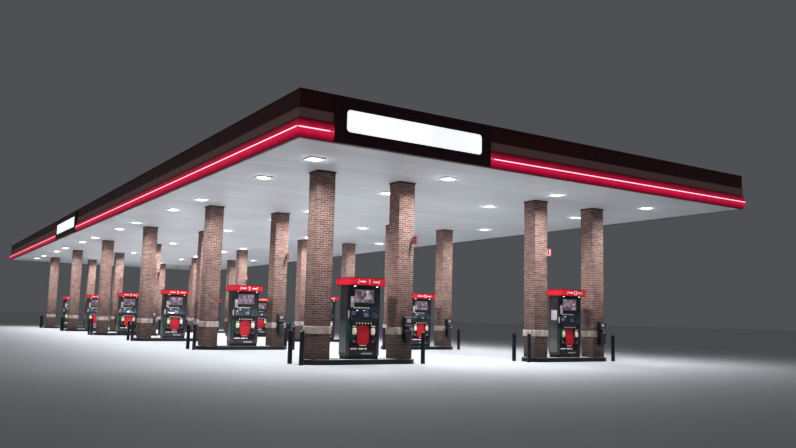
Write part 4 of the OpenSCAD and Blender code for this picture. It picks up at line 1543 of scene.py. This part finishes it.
@dataclass(frozen=True)
class KeypadSlope:
    """Domed glossy overlay on the slope, the keys on its block, small lit displays and a round reader."""

    site: Site
    plan: FacePlan
    width: float = 940.0
    length: float = 300.0
    steps: int = 12
    edge: float = 2.0
    crown_along: float = 8.0
    crown_across: float = 6.0
    pad_x: float = 40.0
    pad_t: float = 18.0
    keys_across: int = 3
    keys_up: int = 4
    first_key_z: float = -88.0
    key: tuple[float, float, float] = (38.0, 22.0, 5.0)
    key_pitch: Pair = (50.0, 31.0)
    window: Box = (64.0, 24.0, -260.0, 104.0)
    window_back: float = -9.0
    lens: Pair = (164.0, 66.0)
    lens_corner: float = 14.0
    lens_z: float = 62.0
    lens_dome: Profile = ((1.0, 0.0), (1.0, 2.0), (0.85, 4.5), (0.6, 6.5), (0.3, 7.7), (0.05, 8.0))
    dial_x: float = -405.0
    dial_z: float = 10.0
    dial_cap: Profile = ((46, 0), (45, 12), (38, 17), (26, 21), (12, 23.5), (1, 24))
    dial_ring: Profile = ((60, 5), (54, 9), (46, 5))
    dot: Profile = ((6, 2), (4, 4))
    dots: Profile = ((252, -64), (280, -96), (330, -108), (382, -96), (425, -70), (440, -30))

    def build(self) -> None:
        """Makes the overlays, the keys and the lit displays, each as one piece."""
        places = [face @ self.plan.slope for face in self.site.faces()]
        self.overlay().copies(places).build("keypad_overlays", "black_moulding")
        self.keys().copies(places).build("keypad_keys", "button_cap")
        self.lit().copies(places).build("keypad_displays", "screen")

    def swell(self, across: float, along: float) -> float:
        """Height of the overlay above the slope, each place given from -1 to 1."""
        return self.edge + self.crown_across * (1 - across**2) + self.crown_along * (1 - along**2)

    def overlay(self) -> Shape:
        """The overlay, crowned both ways, with a domed lens on the key block and one in the reader."""
        rings = []
        for i in range(self.steps + 1):
            across = -1 + 2 * i / self.steps
            x = across * self.width / 2
            ring = [(x, 0.0, self.length / 2), (x, 0.0, -self.length / 2)]
            for k in range(self.steps + 1):
                along = -1 + 2 * k / self.steps
                ring.append((x, -self.swell(across, along), along * self.length / 2))
            rings.append(ring)
        overlay = Shape().loft(OVERLAY, rings)
        w, h = self.lens
        rings = []
        for share, rise in self.lens_dome:
            outline = rounded(w * share, h * share, self.lens_corner * share, self.pad_x, self.lens_z)
            rings.append([(x, -self.pad_t - rise, z) for x, z in outline])
        overlay.loft(OVERLAY, rings)
        dial = Shape().turned(OVERLAY, self.dial_cap, segments=28)
        overlay.place(dial, facing_front(self.dial_x, 0, self.dial_z))
        return overlay

    def keys(self) -> Shape:
        """The keys on the block, and the round reader's ring."""
        w, h, t = self.key
        keys = Shape()
        for column in range(self.keys_across):
            for row in range(self.keys_up):
                x = self.pad_x + (column - 1) * self.key_pitch[0]
                z = self.first_key_z + row * self.key_pitch[1]
                keys.panel(KEY_METAL, (w, h, x, z), 5, -self.pad_t, t, chamfer=1.5)
        height = self.swell(2 * self.dial_x / self.width, 0)
        crest = [(radius, height + rise) for radius, rise in self.dial_ring]
        section = [(crest[-1][0], 0), (crest[0][0], 0), *crest]
        ring = Shape().turned(SCREEN_TRIM, section, segments=28, closed=True)
        keys.place(ring, facing_front(self.dial_x, 0, self.dial_z))
        return keys

    def lit(self) -> Shape:
        """The small display left of the keys, and the pilot lights round the card slot."""
        lit = Shape().panel(SMALL_DISPLAY, self.window, 6, self.window_back, 4, chamfer=1)
        for x, z in self.dots:
            height = self.swell(2 * x / self.width, 2 * z / self.length)
            crest = [(radius, height + rise) for radius, rise in self.dot]
            dot = Shape().turned(TEAL_LIGHT, [(crest[0][0], 0), *crest], segments=10)
            lit.place(dot, facing_front(x, 0, z))
        return lit


@dataclass(frozen=True)
class GradeRow:
    """Strip of six domed grade buttons, each in its collar."""

    site: Site
    plan: FacePlan
    strip: Pair = (640.0, 60.0)
    strip_corner: float = 12.0
    middle_z: float = 1260.0
    count: int = 6
    pitch: float = 105.0
    thickness: float = 5.0
    cap: Profile = ((22, 0), (22, 8), (19, 12), (12, 13.5), (1, 14))
    collar: Profile = ((23, 0), (28, 0), (28, 4), (26, 6), (23, 6))

    def build(self) -> None:
        """Makes all the rows as one piece, in place of the plain ones."""
        front = self.plan.housing - self.thickness
        strip = (*self.strip, 0, self.middle_z)
        back, thickness = self.plan.housing, self.thickness
        row = Shape().panel(BLACK_ABS, strip, self.strip_corner, back, thickness, chamfer=1)
        cap = Shape().turned(BUTTON_CAP, self.cap, segments=24)
        collar = Shape().turned(KEY_METAL, self.collar, segments=24, closed=True)
        for i in range(self.count):
            place = facing_front((i - (self.count - 1) / 2) * self.pitch, front, self.middle_z)
            row.place(cap, place)
            row.place(collar, place)
        row.copies(self.site.faces()).build("grade_button_rows", "button_cap", "grade_buttons")


@dataclass(frozen=True)
class DoorFilms:
    """Plain coloured films on the door, the pillars and the boots, and pale rules below them."""

    site: Site
    plan: FacePlan
    red: Pair = (452.0, 598.0)
    red_z: float = 897.0
    red_square: float = 4.6
    red_steps: int = 64
    margin: Box = (50.0, 510.0, 464.0, 950.0)
    pillar_w: float = 48.0
    boot: Box = (174.0, 514.0, 335.0, 920.0)
    boot_corner: float = 48.0
    boot_floor: float = -245.0
    boot_label: Box = (150.0, 38.0, 335.0, 1166.0)
    boot_front: float = -280.0
    rules: tuple[Box, ...] = (
        (250.0, 44.0, -325.0, 472.0),
        (190.0, 44.0, -60.0, 472.0),
        (80.0, 44.0, 105.0, 472.0),
        (240.0, 14.0, 0.0, 572.0),
    )
    kick_rule: Box = (380.0, 46.0, 165.0, 322.0)
    kick_front: float = -194.0
    pillar_rule: tuple[float, float, float] = (46.0, 230.0, 1525.0)

    def build(self) -> None:
        """Makes all the films and rules as one piece."""
        door, pillar, pillar_x = self.plan.door, self.plan.pillar, self.plan.pillar_x
        red = [(x, self.red_z + z) for x, z in barrel(*self.red, self.red_square, self.red_steps)]
        films = Shape().plate(RED_FILM, red, door, door - 2, chamfer=0.5)
        on_pillar = (self.pillar_w, self.margin[1], pillar_x, self.margin[3])
        for finish, side in ((GREEN_FILM, -1), (PURPLE_FILM, 1)):
            films.panel(finish, self.margin, 6, door, 2, side=side)
            films.panel(finish, on_pillar, 6, pillar, 2, side=side)
            films.panel(finish, self.boot, self.boot_corner, self.boot_floor, 1, 0.3, side)
            films.panel(WHITE_VINYL, self.boot_label, 6, self.boot_front, 3, side=side)
        for rule in self.rules:
            films.panel(WHITE_VINYL, rule, rule[1] / 4, door, 2)
        films.panel(WHITE_VINYL, self.kick_rule, 8, self.kick_front, 3)
        w, h, z = self.pillar_rule
        films.panel(WHITE_VINYL, (w, h, -pillar_x, z), 8, pillar, 4, chamfer=1)
        films.copies(self.site.faces()).build("door_films", "printed_panel")


@dataclass(frozen=True)
class HeaderFace:
    """Pump number between plain rules on each bowed header, and its downlight lenses.

    A rule's three sizes are its width, its height and how far its top leans over.
    """

    site: Site
    front: float = -550.0
    half: float = 620.0
    bow: float = 70.0
    middle_z: float = 2540.0
    figure_h: float = 150.0
    bar: Point = (196.0, 44.0, 12.0)
    bar_x: float = 232.0
    stroke: Point = (18.0, 140.0, 38.0)
    stroke_x: float = 368.0
    rule_t: float = 3.0
    rule_step: float = 12.0
    rule_ease: float = 2.0
    light: Point = (400.0, -352.0, 2400.0)
    lens: Profile = ((27, 0), (27, -3), (18, -6))

    def build(self) -> None:
        """Makes the figures and rules as one piece and the lenses as another."""
        figures, lenses = Shape(), Shape()
        lens = Shape().turned(LAMP_GLASS, self.lens)
        x, y, z = self.light
        for number, place in enumerate(self.site.faces(), 1):
            figures.place(self.figures(number), place)
            for side in (-1, 1):
                lenses.place(lens, place @ Matrix.Translation((side * x, y, z)))
        figures.build("header_figures", "printed_panel")
        lenses.build("header_downlight_lenses", "lamp_lens")

    def figures(self, number: int) -> Shape:
        """The number and its rules, bent to the bow of the header."""
        flat = numeral(WHITE_VINYL, number, self.figure_h)
        for side in (-1, 1):
            self.add_rule(flat, self.bar, side * self.bar_x)
            self.add_rule(flat, self.stroke, side * self.stroke_x)
        radius = (self.half**2 + self.bow**2) / (2 * self.bow)
        points = [(x, y + self.front + x * x / (2 * radius), z + self.middle_z) for x, y, z in flat.points]
        return Shape().add(WHITE_VINYL, points, flat.faces)

    def add_rule(self, flat: Shape, size: Point, middle: float) -> None:
        """Adds a rule in short lengths, so that it can follow the bow.

        Args:
            flat: Where the rule goes.
            size: Its width, its height and how far its top leans over.
            middle: Its place across.
        """
        width, height, lean = size
        steps = 2 + round(width / self.rule_step)
        rings = []
        for i in range(steps + 1):
            x = middle + width * (i / steps - 0.5)
            half = height / 2 - (self.rule_ease if i in (0, steps) else 0)
            edges = [(-half, self.rule_t / 3), (-half, -self.rule_t / 3), (-half + 1, -self.rule_t / 2)]
            edges += [(-z, y) for z, y in reversed(edges)]
            rings.append([(x + lean * z / height, y, z) for z, y in edges])
        flat.loft(WHITE_VINYL, rings)


@dataclass(frozen=True)
class FlankPanels:
    """Screwed service sheet with a lock on both flanks of each dispenser, and one paper notice."""

    site: Site
    flank: float = -590.0
    sheet: Pair = (392.0, 1960.0)
    sheet_t: float = 3.0
    sheet_corner: float = 14.0
    middle_z: float = 1330.0
    screw: Profile = ((7, 0), (7, 2), (4, 4))
    screw_inset: Pair = (18.0, 25.0)
    screws_up: int = 4
    lock: Profile = ((17, 0), (17, 5), (14, 8), (3, 8))
    lock_inset: float = 48.0
    lock_z: float = 1310.0
    notice: Box = (290.0, 370.0, 40.0, 1705.0)
    notice_t: float = 2.0
    notice_flank: int = 12

    def build(self) -> None:
        """Makes the sheets, screws and locks as one piece and the notice as another."""
        width, height = self.sheet
        front = self.flank - self.sheet_t
        box = (width, height, 0, self.middle_z)
        sheet = Shape().panel(SATIN_STEEL, box, self.sheet_corner, self.flank, self.sheet_t, chamfer=1)
        screw = Shape().turned(KEY_METAL, self.screw, segments=10)
        lock = Shape().turned(KEY_METAL, self.lock, segments=16)
        reach, rise = width / 2 - self.screw_inset[0], height - 2 * self.screw_inset[1]
        for x in (-reach, reach):
            for i in range(self.screws_up):
                level = self.middle_z + rise * (i / (self.screws_up - 1) - 0.5)
                sheet.place(screw, facing_front(x, front, level))
        sheet.place(lock, facing_front(width / 2 - self.lock_inset, front, self.lock_z))
        sheet.copies(self.site.sides()).build("flank_sheets", "cabinet_grey")
        paper = Shape().panel(NOTICE, self.notice, 6, front, self.notice_t)
        flank = list(self.site.sides())[self.notice_flank]
        paper.copies([flank]).build("paper_notice", "printed_panel")


@dataclass(frozen=True)
class Nozzles:
    """Nozzles hung in their boots: dipped vinyl body, rubber grip, cast guard and metal spout.

    The body's rings are a width, a depth and a height each.
    """

    site: Site
    plan: FacePlan
    boot_x: float = 335.0
    boot_z: float = 650.0
    stand_off: float = 35.0
    body: tuple[Point, ...] = (
        (40, 34, 246), (84, 44, 256), (128, 52, 280), (156, 56, 325),
        (160, 56, 385), (144, 54, 428), (104, 46, 456), (60, 34, 468),
    )
    collar: Profile = ((15, 28), (23, 32), (23, 46), (18, 50), (18, 58), (23, 62), (23, 76), (15, 80))
    cap: Profile = ((20, 0), (20, 12), (15, 18))
    cap_at: Point = (72.0, 0.0, 400.0)
    spout_r: float = 11.0
    spout_start: Point = (-20.0, 0.0, 432.0)
    bend_middle: Point = (-37.0, 0.0, 394.0)
    bend_r: float = 38.0
    spout_end: tuple[Point, ...] = ((-75.0, 0.0, 330.0), (-75.0, 0.0, 266.0))
    guard_r: float = 8.0
    lever_r: float = 5.0

    def build(self) -> None:
        """Makes all the nozzles as one piece, in place of the plain ones."""
        at = Matrix.Translation((self.boot_x, self.plan.door - self.stand_off, self.boot_z))
        mirrors = [Matrix.Diagonal((side, 1, 1, 1)) for side in (1, -1)]
        places = [face @ mirror @ at for face in self.site.faces() for mirror in mirrors]
        self.nozzle().copies(places).build("dressed_nozzles", "black_moulding", "nozzles")

    def nozzle(self) -> Shape:
        """One nozzle, over the underside of its boot."""
        nozzle = Shape().loft(CREAM_VINYL, [oval(w, d, z, 16, 3) for w, d, z in self.body])
        # Every other ring of the grip is a little smaller, which makes its ribs
        ribs = [(36 - 3 * (i % 2), 32 - 2 * (i % 2), 80 + 18 * i) for i in range(11)]
        nozzle.loft(BLACK_RUBBER, [oval(w, d, z, 12) for w, d, z in [(30, 28, 70), *ribs]])
        nozzle.turned(SPOUT_METAL, self.collar, segments=16)
        cap = Shape().turned(BLACK_RUBBER, self.cap, segments=14)
        nozzle.place(cap, Matrix.Translation(self.cap_at) @ Matrix.Rotation(math.pi / 2, 4, "Y"))
        nozzle.swept(SPOUT_METAL, self.spout(), self.spout_r, 12)
        nozzle.swept(SPOUT_METAL, self.guard(), self.guard_r)
        nozzle.loft(BLACK_RUBBER, [oval(10, 16, z) for z in (150, 290)])
        lever = [(16 + 14 * math.sin(math.pi * i / 8), 0, 110 + 24 * i) for i in range(9)]
        nozzle.swept(BLACK_RUBBER, lever, self.lever_r)
        return nozzle

    def spout(self) -> list[Point]:
        """Path of the spout, out of the top of the body, round a quarter bend and down."""
        x, y, z = self.bend_middle
        angles = [i * math.pi / 12 for i in range(7)]
        bend = [(x - self.bend_r * math.sin(a), y, z + self.bend_r * math.cos(a)) for a in angles]
        return [self.spout_start, *bend, *self.spout_end]

    def guard(self) -> list[Point]:
        """Path of the loop that guards the lever."""
        out, low, high, radius = 70.0, 62.0, 332.0, 26.0
        path = [(30.0, 0.0, high)]
        for middle_z, start in ((high - radius, 0.5), (low + radius, 0.0)):
            for i in range(6):
                angle = math.pi * (start - i / 10)
                across, up = radius * math.cos(angle), radius * math.sin(angle)
                path.append((out - radius + across, 0.0, middle_z + up))
        return [*path, (16.0, 0.0, low)]


@dataclass(frozen=True)
class FlagFigures:
    """Pump numbers and a white edge on both faces of the flags on the inner columns."""

    site: Site
    shift: float = 220.0
    arm: float = 30.0
    side: float = 260.0
    middle_z: float = 3980.0
    recess: float = -16.0
    rim: float = -20.0
    rim_w: float = 14.0
    figure_h: float = 170.0

    def build(self) -> None:
        """Makes all the figures and edges as one piece."""
        figures = Shape()
        outer, inner = self.side - 2, self.side - 2 * self.rim_w
        outlines = rounded(outer, outer, 13), rounded(inner, inner, 5)
        edge = Shape().surround(WHITE_VINYL, *outlines, self.rim, self.rim - 2)
        reach = self.site.pier_side / 2 + self.arm + self.side / 2
        columns = [(x, y) for x in self.site.column_x[1:3] for y in self.site.row_y]
        for island, (x, y) in enumerate(columns):
            for back, side in enumerate((-1, 1)):
                figure = numeral(WHITE_VINYL, 2 * island + back + 1, self.figure_h)
                for turn in (-math.pi / 2, math.pi / 2):
                    middle = (x + self.shift, y + side * reach, self.middle_z)
                    place = Matrix.Translation(middle) @ Matrix.Rotation(turn, 4, "Z")
                    figures.place(figure, place @ Matrix.Translation((0, self.recess, 0)))
                    figures.place(edge, place)
        figures.build("flag_figures", "printed_panel")


@dataclass(frozen=True)
class WasherUnits:
    """Label and slot trim on the towel boxes, and a rolled rim and fluid on the buckets."""

    site: Site
    middle_x: float = 1550.0
    back: float = -325.0
    box_d: float = 150.0
    label: tuple[float, float, float] = (150.0, 118.0, 1368.0)
    slot: tuple[float, float, float] = (250.0, 30.0, 1222.0)
    bucket_y: float = -462.0
    bucket_top: float = 1060.0
    rim: Profile = ((124, 0), (133, 0), (133, 7), (128, 10), (124, 7))
    fluid: Profile = ((124, 0), (124, 2), (121, 3))

    def build(self) -> None:
        """Makes the fittings of all the units as one piece."""
        front = self.back - self.box_d
        w, h, z = self.label
        unit = Shape().panel(PALE_PLATE, (w, h, self.middle_x, z), 8, front, 3, chamfer=1)
        w, h, z = self.slot
        unit.panel(SCREEN_TRIM, (w, h, self.middle_x, z), 10, front, 9, chamfer=3)
        bucket = Matrix.Translation((self.middle_x, self.bucket_y, self.bucket_top))
        unit.place(Shape().turned(SCREEN_TRIM, self.rim, segments=32, closed=True), bucket)
        unit.place(Shape().turned(WATER, self.fluid, segments=32), bucket)
        unit.copies(self.site.faces()).build("washer_fittings", "black_moulding")


class Wall(Enum):
    """The four walls of the roof's edge, as quarter turns from the front one."""

    FRONT = 0
    RIGHT = 1
    BACK = 2
    LEFT = 3


@dataclass(frozen=True)
class RoofSide:
    """One side of the roof, as a wall that faces -Y in its own x, y and z."""

    wall: Wall
    place: Matrix
    half: float
    sign: Pair | None

    @classmethod
    def all(cls) -> list[Self]:
        """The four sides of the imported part, two of them with the stretch that a sign takes."""
        half_x, half_y = node_box("bullnose_right")[0].x, -node_box("bullnose_front")[1].y
        front, side = node_box("front_sign_cabinet"), node_box("side_sign_cabinet")
        signs = {Wall.FRONT: (front[0].x, front[1].x), Wall.LEFT: (-side[1].y, -side[0].y)}
        sides = []
        for wall in Wall:
            half, away = (half_x, half_y) if wall.value % 2 == 0 else (half_y, half_x)
            place = Matrix.Rotation(wall.value * math.pi / 2, 4, "Z") @ Matrix.Translation((0, -away, 0))
            sides.append(cls(wall, place, half, signs.get(wall)))
        return sides

    @property
    def spans(self) -> list[Pair]:
        """The stretches that no sign takes."""
        if self.sign is None:
            return [(-self.half, self.half)]
        return [(-self.half, self.sign[0]), (self.sign[1], self.half)]

    @property
    def nose_node(self) -> str:
        """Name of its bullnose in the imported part."""
        return f"bullnose_{self.wall.name.lower()}"


@dataclass(frozen=True)
class SignCabinets:
    """Shallow painted sign cabinets, each with a lit opal pan in a retainer frame.

    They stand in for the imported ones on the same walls: the photograph shows
    them nearly flush with the fascia.
    """

    depth: float = 80.0
    rim: float = 40.0
    set_back: float = 14.0
    clearance: float = 3.0
    length_margin: float = 330.0
    pan_h: float = 640.0
    pan_t: float = 10.0
    pan_chamfer: float = 3.0
    corner: float = 130.0
    corner_steps: int = 8
    lap: float = 22.0
    proud: float = 26.0

    @property
    def face(self) -> float:
        """The y of the plain face, behind the raised rim."""
        return self.set_back - self.depth

    def build(self) -> None:
        """Makes both cabinets with their frames as one piece, and both pans as another."""
        cabinets, pans = Shape(), Shape()
        low, high = node_box("front_sign_cabinet")
        bottom, middle = node_box("bullnose_front")[0].z + self.clearance, (low.z + high.z) / 2
        for side in RoofSide.all():
            if side.sign:
                cabinets.place(self.cabinet(side.sign, bottom, high.z, middle), side.place)
                pans.place(self.pan(side.sign, middle), side.place)
        cabinets.build("sign_cabinets", "sign_face", "front_sign_cabinet", "side_sign_cabinet")
        pans.build("opal_sign_pans", "sign_opal", "sign_pans")

    def outline(self, span: Pair, middle: float, grow: float) -> list[Corner]:
        """Outline of the pan, grown all round."""
        width = span[1] - span[0] - 2 * self.length_margin + 2 * grow
        height = self.pan_h + 2 * grow
        return rounded(width, height, self.corner + grow, sum(span) / 2, middle, self.corner_steps)

    def cabinet(self, span: Pair, bottom: float, top: float, middle: float) -> Shape:
        """The folded box with its raised rim, and the frame round the pan.

        Args:
            span: Where the cabinet starts and ends along its wall.
            bottom: Height of its underside.
            top: Height of its top.
            middle: Height of the pan's middle.

        Returns:
            The cabinet, on a wall that faces -Y.
        """
        width, height = span[1] - span[0] - 2 * self.clearance, top - bottom
        x, z = sum(span) / 2, (top + bottom) / 2
        opening = rounded(width - 2 * self.rim, height - 2 * self.rim, 5, x, z)
        cabinet = Shape().surround(DARK_SIGN, rounded(width, height, 6, x, z), opening, 0, -self.depth)
        cabinet.plate(DARK_SIGN, opening, 0, self.face)
        frame_edges = [self.outline(span, middle, grow) for grow in (self.lap, -self.lap)]
        return cabinet.surround(DARK_SIGN, *frame_edges, self.face, self.face - self.proud)

    def pan(self, span: Pair, middle: float) -> Shape:
        """The lit pan, on a wall that faces -Y."""
        outline = self.outline(span, middle, 0)
        return Shape().plate(SIGN_ACRYLIC, outline, self.face, self.face - self.pan_t, self.pan_chamfer)


@dataclass(frozen=True)
class LitBullnose:
    """Shallow lit bullnose on the four fascias, with the light strip along its crown.

    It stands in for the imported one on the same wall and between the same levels:
    the photograph shows it much shallower than a half round.
    """

    low: float
    high: float
    depth: float = 75.0
    sheet: float = 6.0
    lip: float = 12.0
    length: float = 3000.0
    joint: float = 3.0
    steps: int = 18
    strip_h: float = 32.0
    strip_d: float = 13.0
    strip_lap: float = 2.0
    corner_stop: float = 30.0
    sign_stop: float = 130.0

    @classmethod
    def from_frame(cls) -> Self:
        """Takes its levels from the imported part."""
        low, high = node_box("bullnose_front")
        return cls(low.z, high.z)

    @property
    def middle(self) -> float:
        """Height of its crown, and of the strip."""
        return (self.low + self.high) / 2

    def build(self) -> None:
        """Makes the nose of each side as one piece, and all the light strips as another."""
        strips = Shape()
        for side in RoofSide.all():
            nose = Shape()
            for span in side.spans:
                nose.place(self.nose(span, side.half), side.place)
                strips.place(self.strip(span, side.half), side.place)
            nose.build(f"lit_{side.nose_node}", "red_nose", side.nose_node)
        strips.build("silicone_light_strips", "led_strip", "light_strips")

    def arc(self, depth: float, inset: float) -> list[Corner]:
        """How far out and how high the nose is, from its lower edge to its upper one.

        Args:
            depth: How far its crown stands off the wall.
            inset: How much lower its top is, and how much higher its bottom.

        Returns:
            Pairs of a distance from the wall and a height.
        """
        half = (self.high - self.low) / 2 - inset
        radius = (half**2 + depth**2) / (2 * depth)
        opening = math.asin(half / radius)
        angles = [opening * (2 * i / self.steps - 1) for i in range(self.steps + 1)]
        return [(radius * math.cos(a) - radius + depth, self.middle + radius * math.sin(a)) for a in angles]

    def lengths(self, start: float, end: float) -> list[Pair]:
        """Start and end of each length that a stretch is made up of."""
        count = max(1, round((end - start) / self.length))
        marks = [start + (end - start) * i / count for i in range(count + 1)]
        return list(zip(marks, marks[1:]))

    def ring(self, x: float, section: Outline, half: float) -> list[Point]:
        """A cross-section at a place along the wall, mitred where that is a corner of the roof."""
        mitred = abs(x) >= half
        return [(x + math.copysign(out, x) * mitred, -out, z) for out, z in section]

    def nose(self, span: Pair, half: float) -> Shape:
        """The shell along one span, closed where it ends against a sign."""
        finish = LitAcrylic(low=self.low, high=self.high)
        nose = Shape()
        cap = self.arc(self.depth - self.sheet, self.lip)
        shell = self.arc(self.depth, 0) + cap[::-1]
        for start, end in self.lengths(*span):
            first = start + (self.joint / 2 if start > -half else 0)
            last = end - (self.joint / 2 if end < half else 0)
            nose.loft(finish, [self.ring(first, shell, half), self.ring(last, shell, half)])
        for x in span:
            if abs(x) < half:
                inner = x + math.copysign(self.sheet, sum(span) / 2 - x)
                nose.loft(finish, [self.ring(x, cap, half), self.ring(inner, cap, half)])
        return nose

    def strip(self, span: Pair, half: float) -> Shape:
        """The light strip along one span, short of the corners and the sign."""
        h, d = self.strip_h / 2, self.strip_d
        finish = StripDiffuser(low=self.middle - h, high=self.middle + h)
        lower = [(-self.strip_lap, -h), (0.5 * d, -h), (0.85 * d, -0.7 * h), (d, -0.3 * h)]
        outline = lower + [(out, -z) for out, z in reversed(lower)]
        section = [(self.depth + out, self.middle + z) for out, z in outline]
        stops = [self.corner_stop - self.depth if abs(x) >= half else self.sign_stop for x in span]
        strip = Shape()
        for start, end in self.lengths(span[0] + stops[0], span[1] - stops[1]):
            ends = (start + self.joint / 2, end - self.joint / 2)
            strip.loft(finish, [[(x, -out, z) for out, z in section] for x in ends])
        return strip


@dataclass(frozen=True)
class CadFinishes:
    """The finish of each CAD node that is shown as it was packed."""

    nodes: tuple[tuple[Finish, tuple[str, ...]], ...] = (
        (BLACK_ENAMEL, ("island_forms", "bollards", "dispenser_plinths")),
        (CONCRETE, ("island_slabs",)),
        (STONE, ("stone_bands",)),
        (BRONZE_ENAMEL, ("column_collars",)),
        (PRIMER, ("steel_columns", "main_beams")),
        (ZINC, ("purlins", "fascia_frames", "lamp_drivers")),
        (WHITE_SHEET, ("deck_pans", "gutter")),
        (MAROON_PANEL, ("fascia_front", "fascia_right", "fascia_back", "fascia_left", "fascia_coping")),
        (GREY_STRIPE, ("fascia_stripes",)),
        (LAMP_ENAMEL, ("lamp_bezels",)),
        (LAMP_GLASS, ("lamp_lenses",)),
        (CHARCOAL_COAT, ("dispenser_cabinets",)),
        (DOOR_FACE, ("dispenser_doors",)),
        (BLACK_ABS, ("dispenser_bezels", "payment_units", "nozzle_boots", "service_units")),
        (SCREEN, ("dispenser_screens",)),
        (HEADER_ACRYLIC, ("dispenser_headers",)),
        (FLAG_ENAMEL, ("number_flags",)),
    )

    def build(self) -> None:
        """Gives every listed node its material."""
        for finish, names in self.nodes:
            for name in names:
                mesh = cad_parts[name].data
                mesh.materials.clear()
                mesh.materials.append(finish.material())
                LOG.info("%s: %s", name, finish.name)


def main() -> None:
    """Builds the scene in order."""
    logging.basicConfig(level=logging.INFO, format="%(name)s: %(message)s")
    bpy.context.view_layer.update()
    site = Site.from_frame()
    plan = FacePlan()
    parts = (
        PhotoCamera(),
        Studio(),
        CadFinishes(),
        LitBullnose.from_frame(),
        SoffitLamps(site),
        BrickPiers(site),
        ScreenSurround(site, plan),
        KeypadSlope(site, plan),
        GradeRow(site, plan),
        DoorFilms(site, plan),
        HeaderFace(site),
        FlankPanels(site),
        Nozzles(site, plan),
        FlagFigures(site),
        WasherUnits(site),
        SignCabinets(),
    )
    for part in parts:
        part.build()


if __name__ == "__main__":
    main()
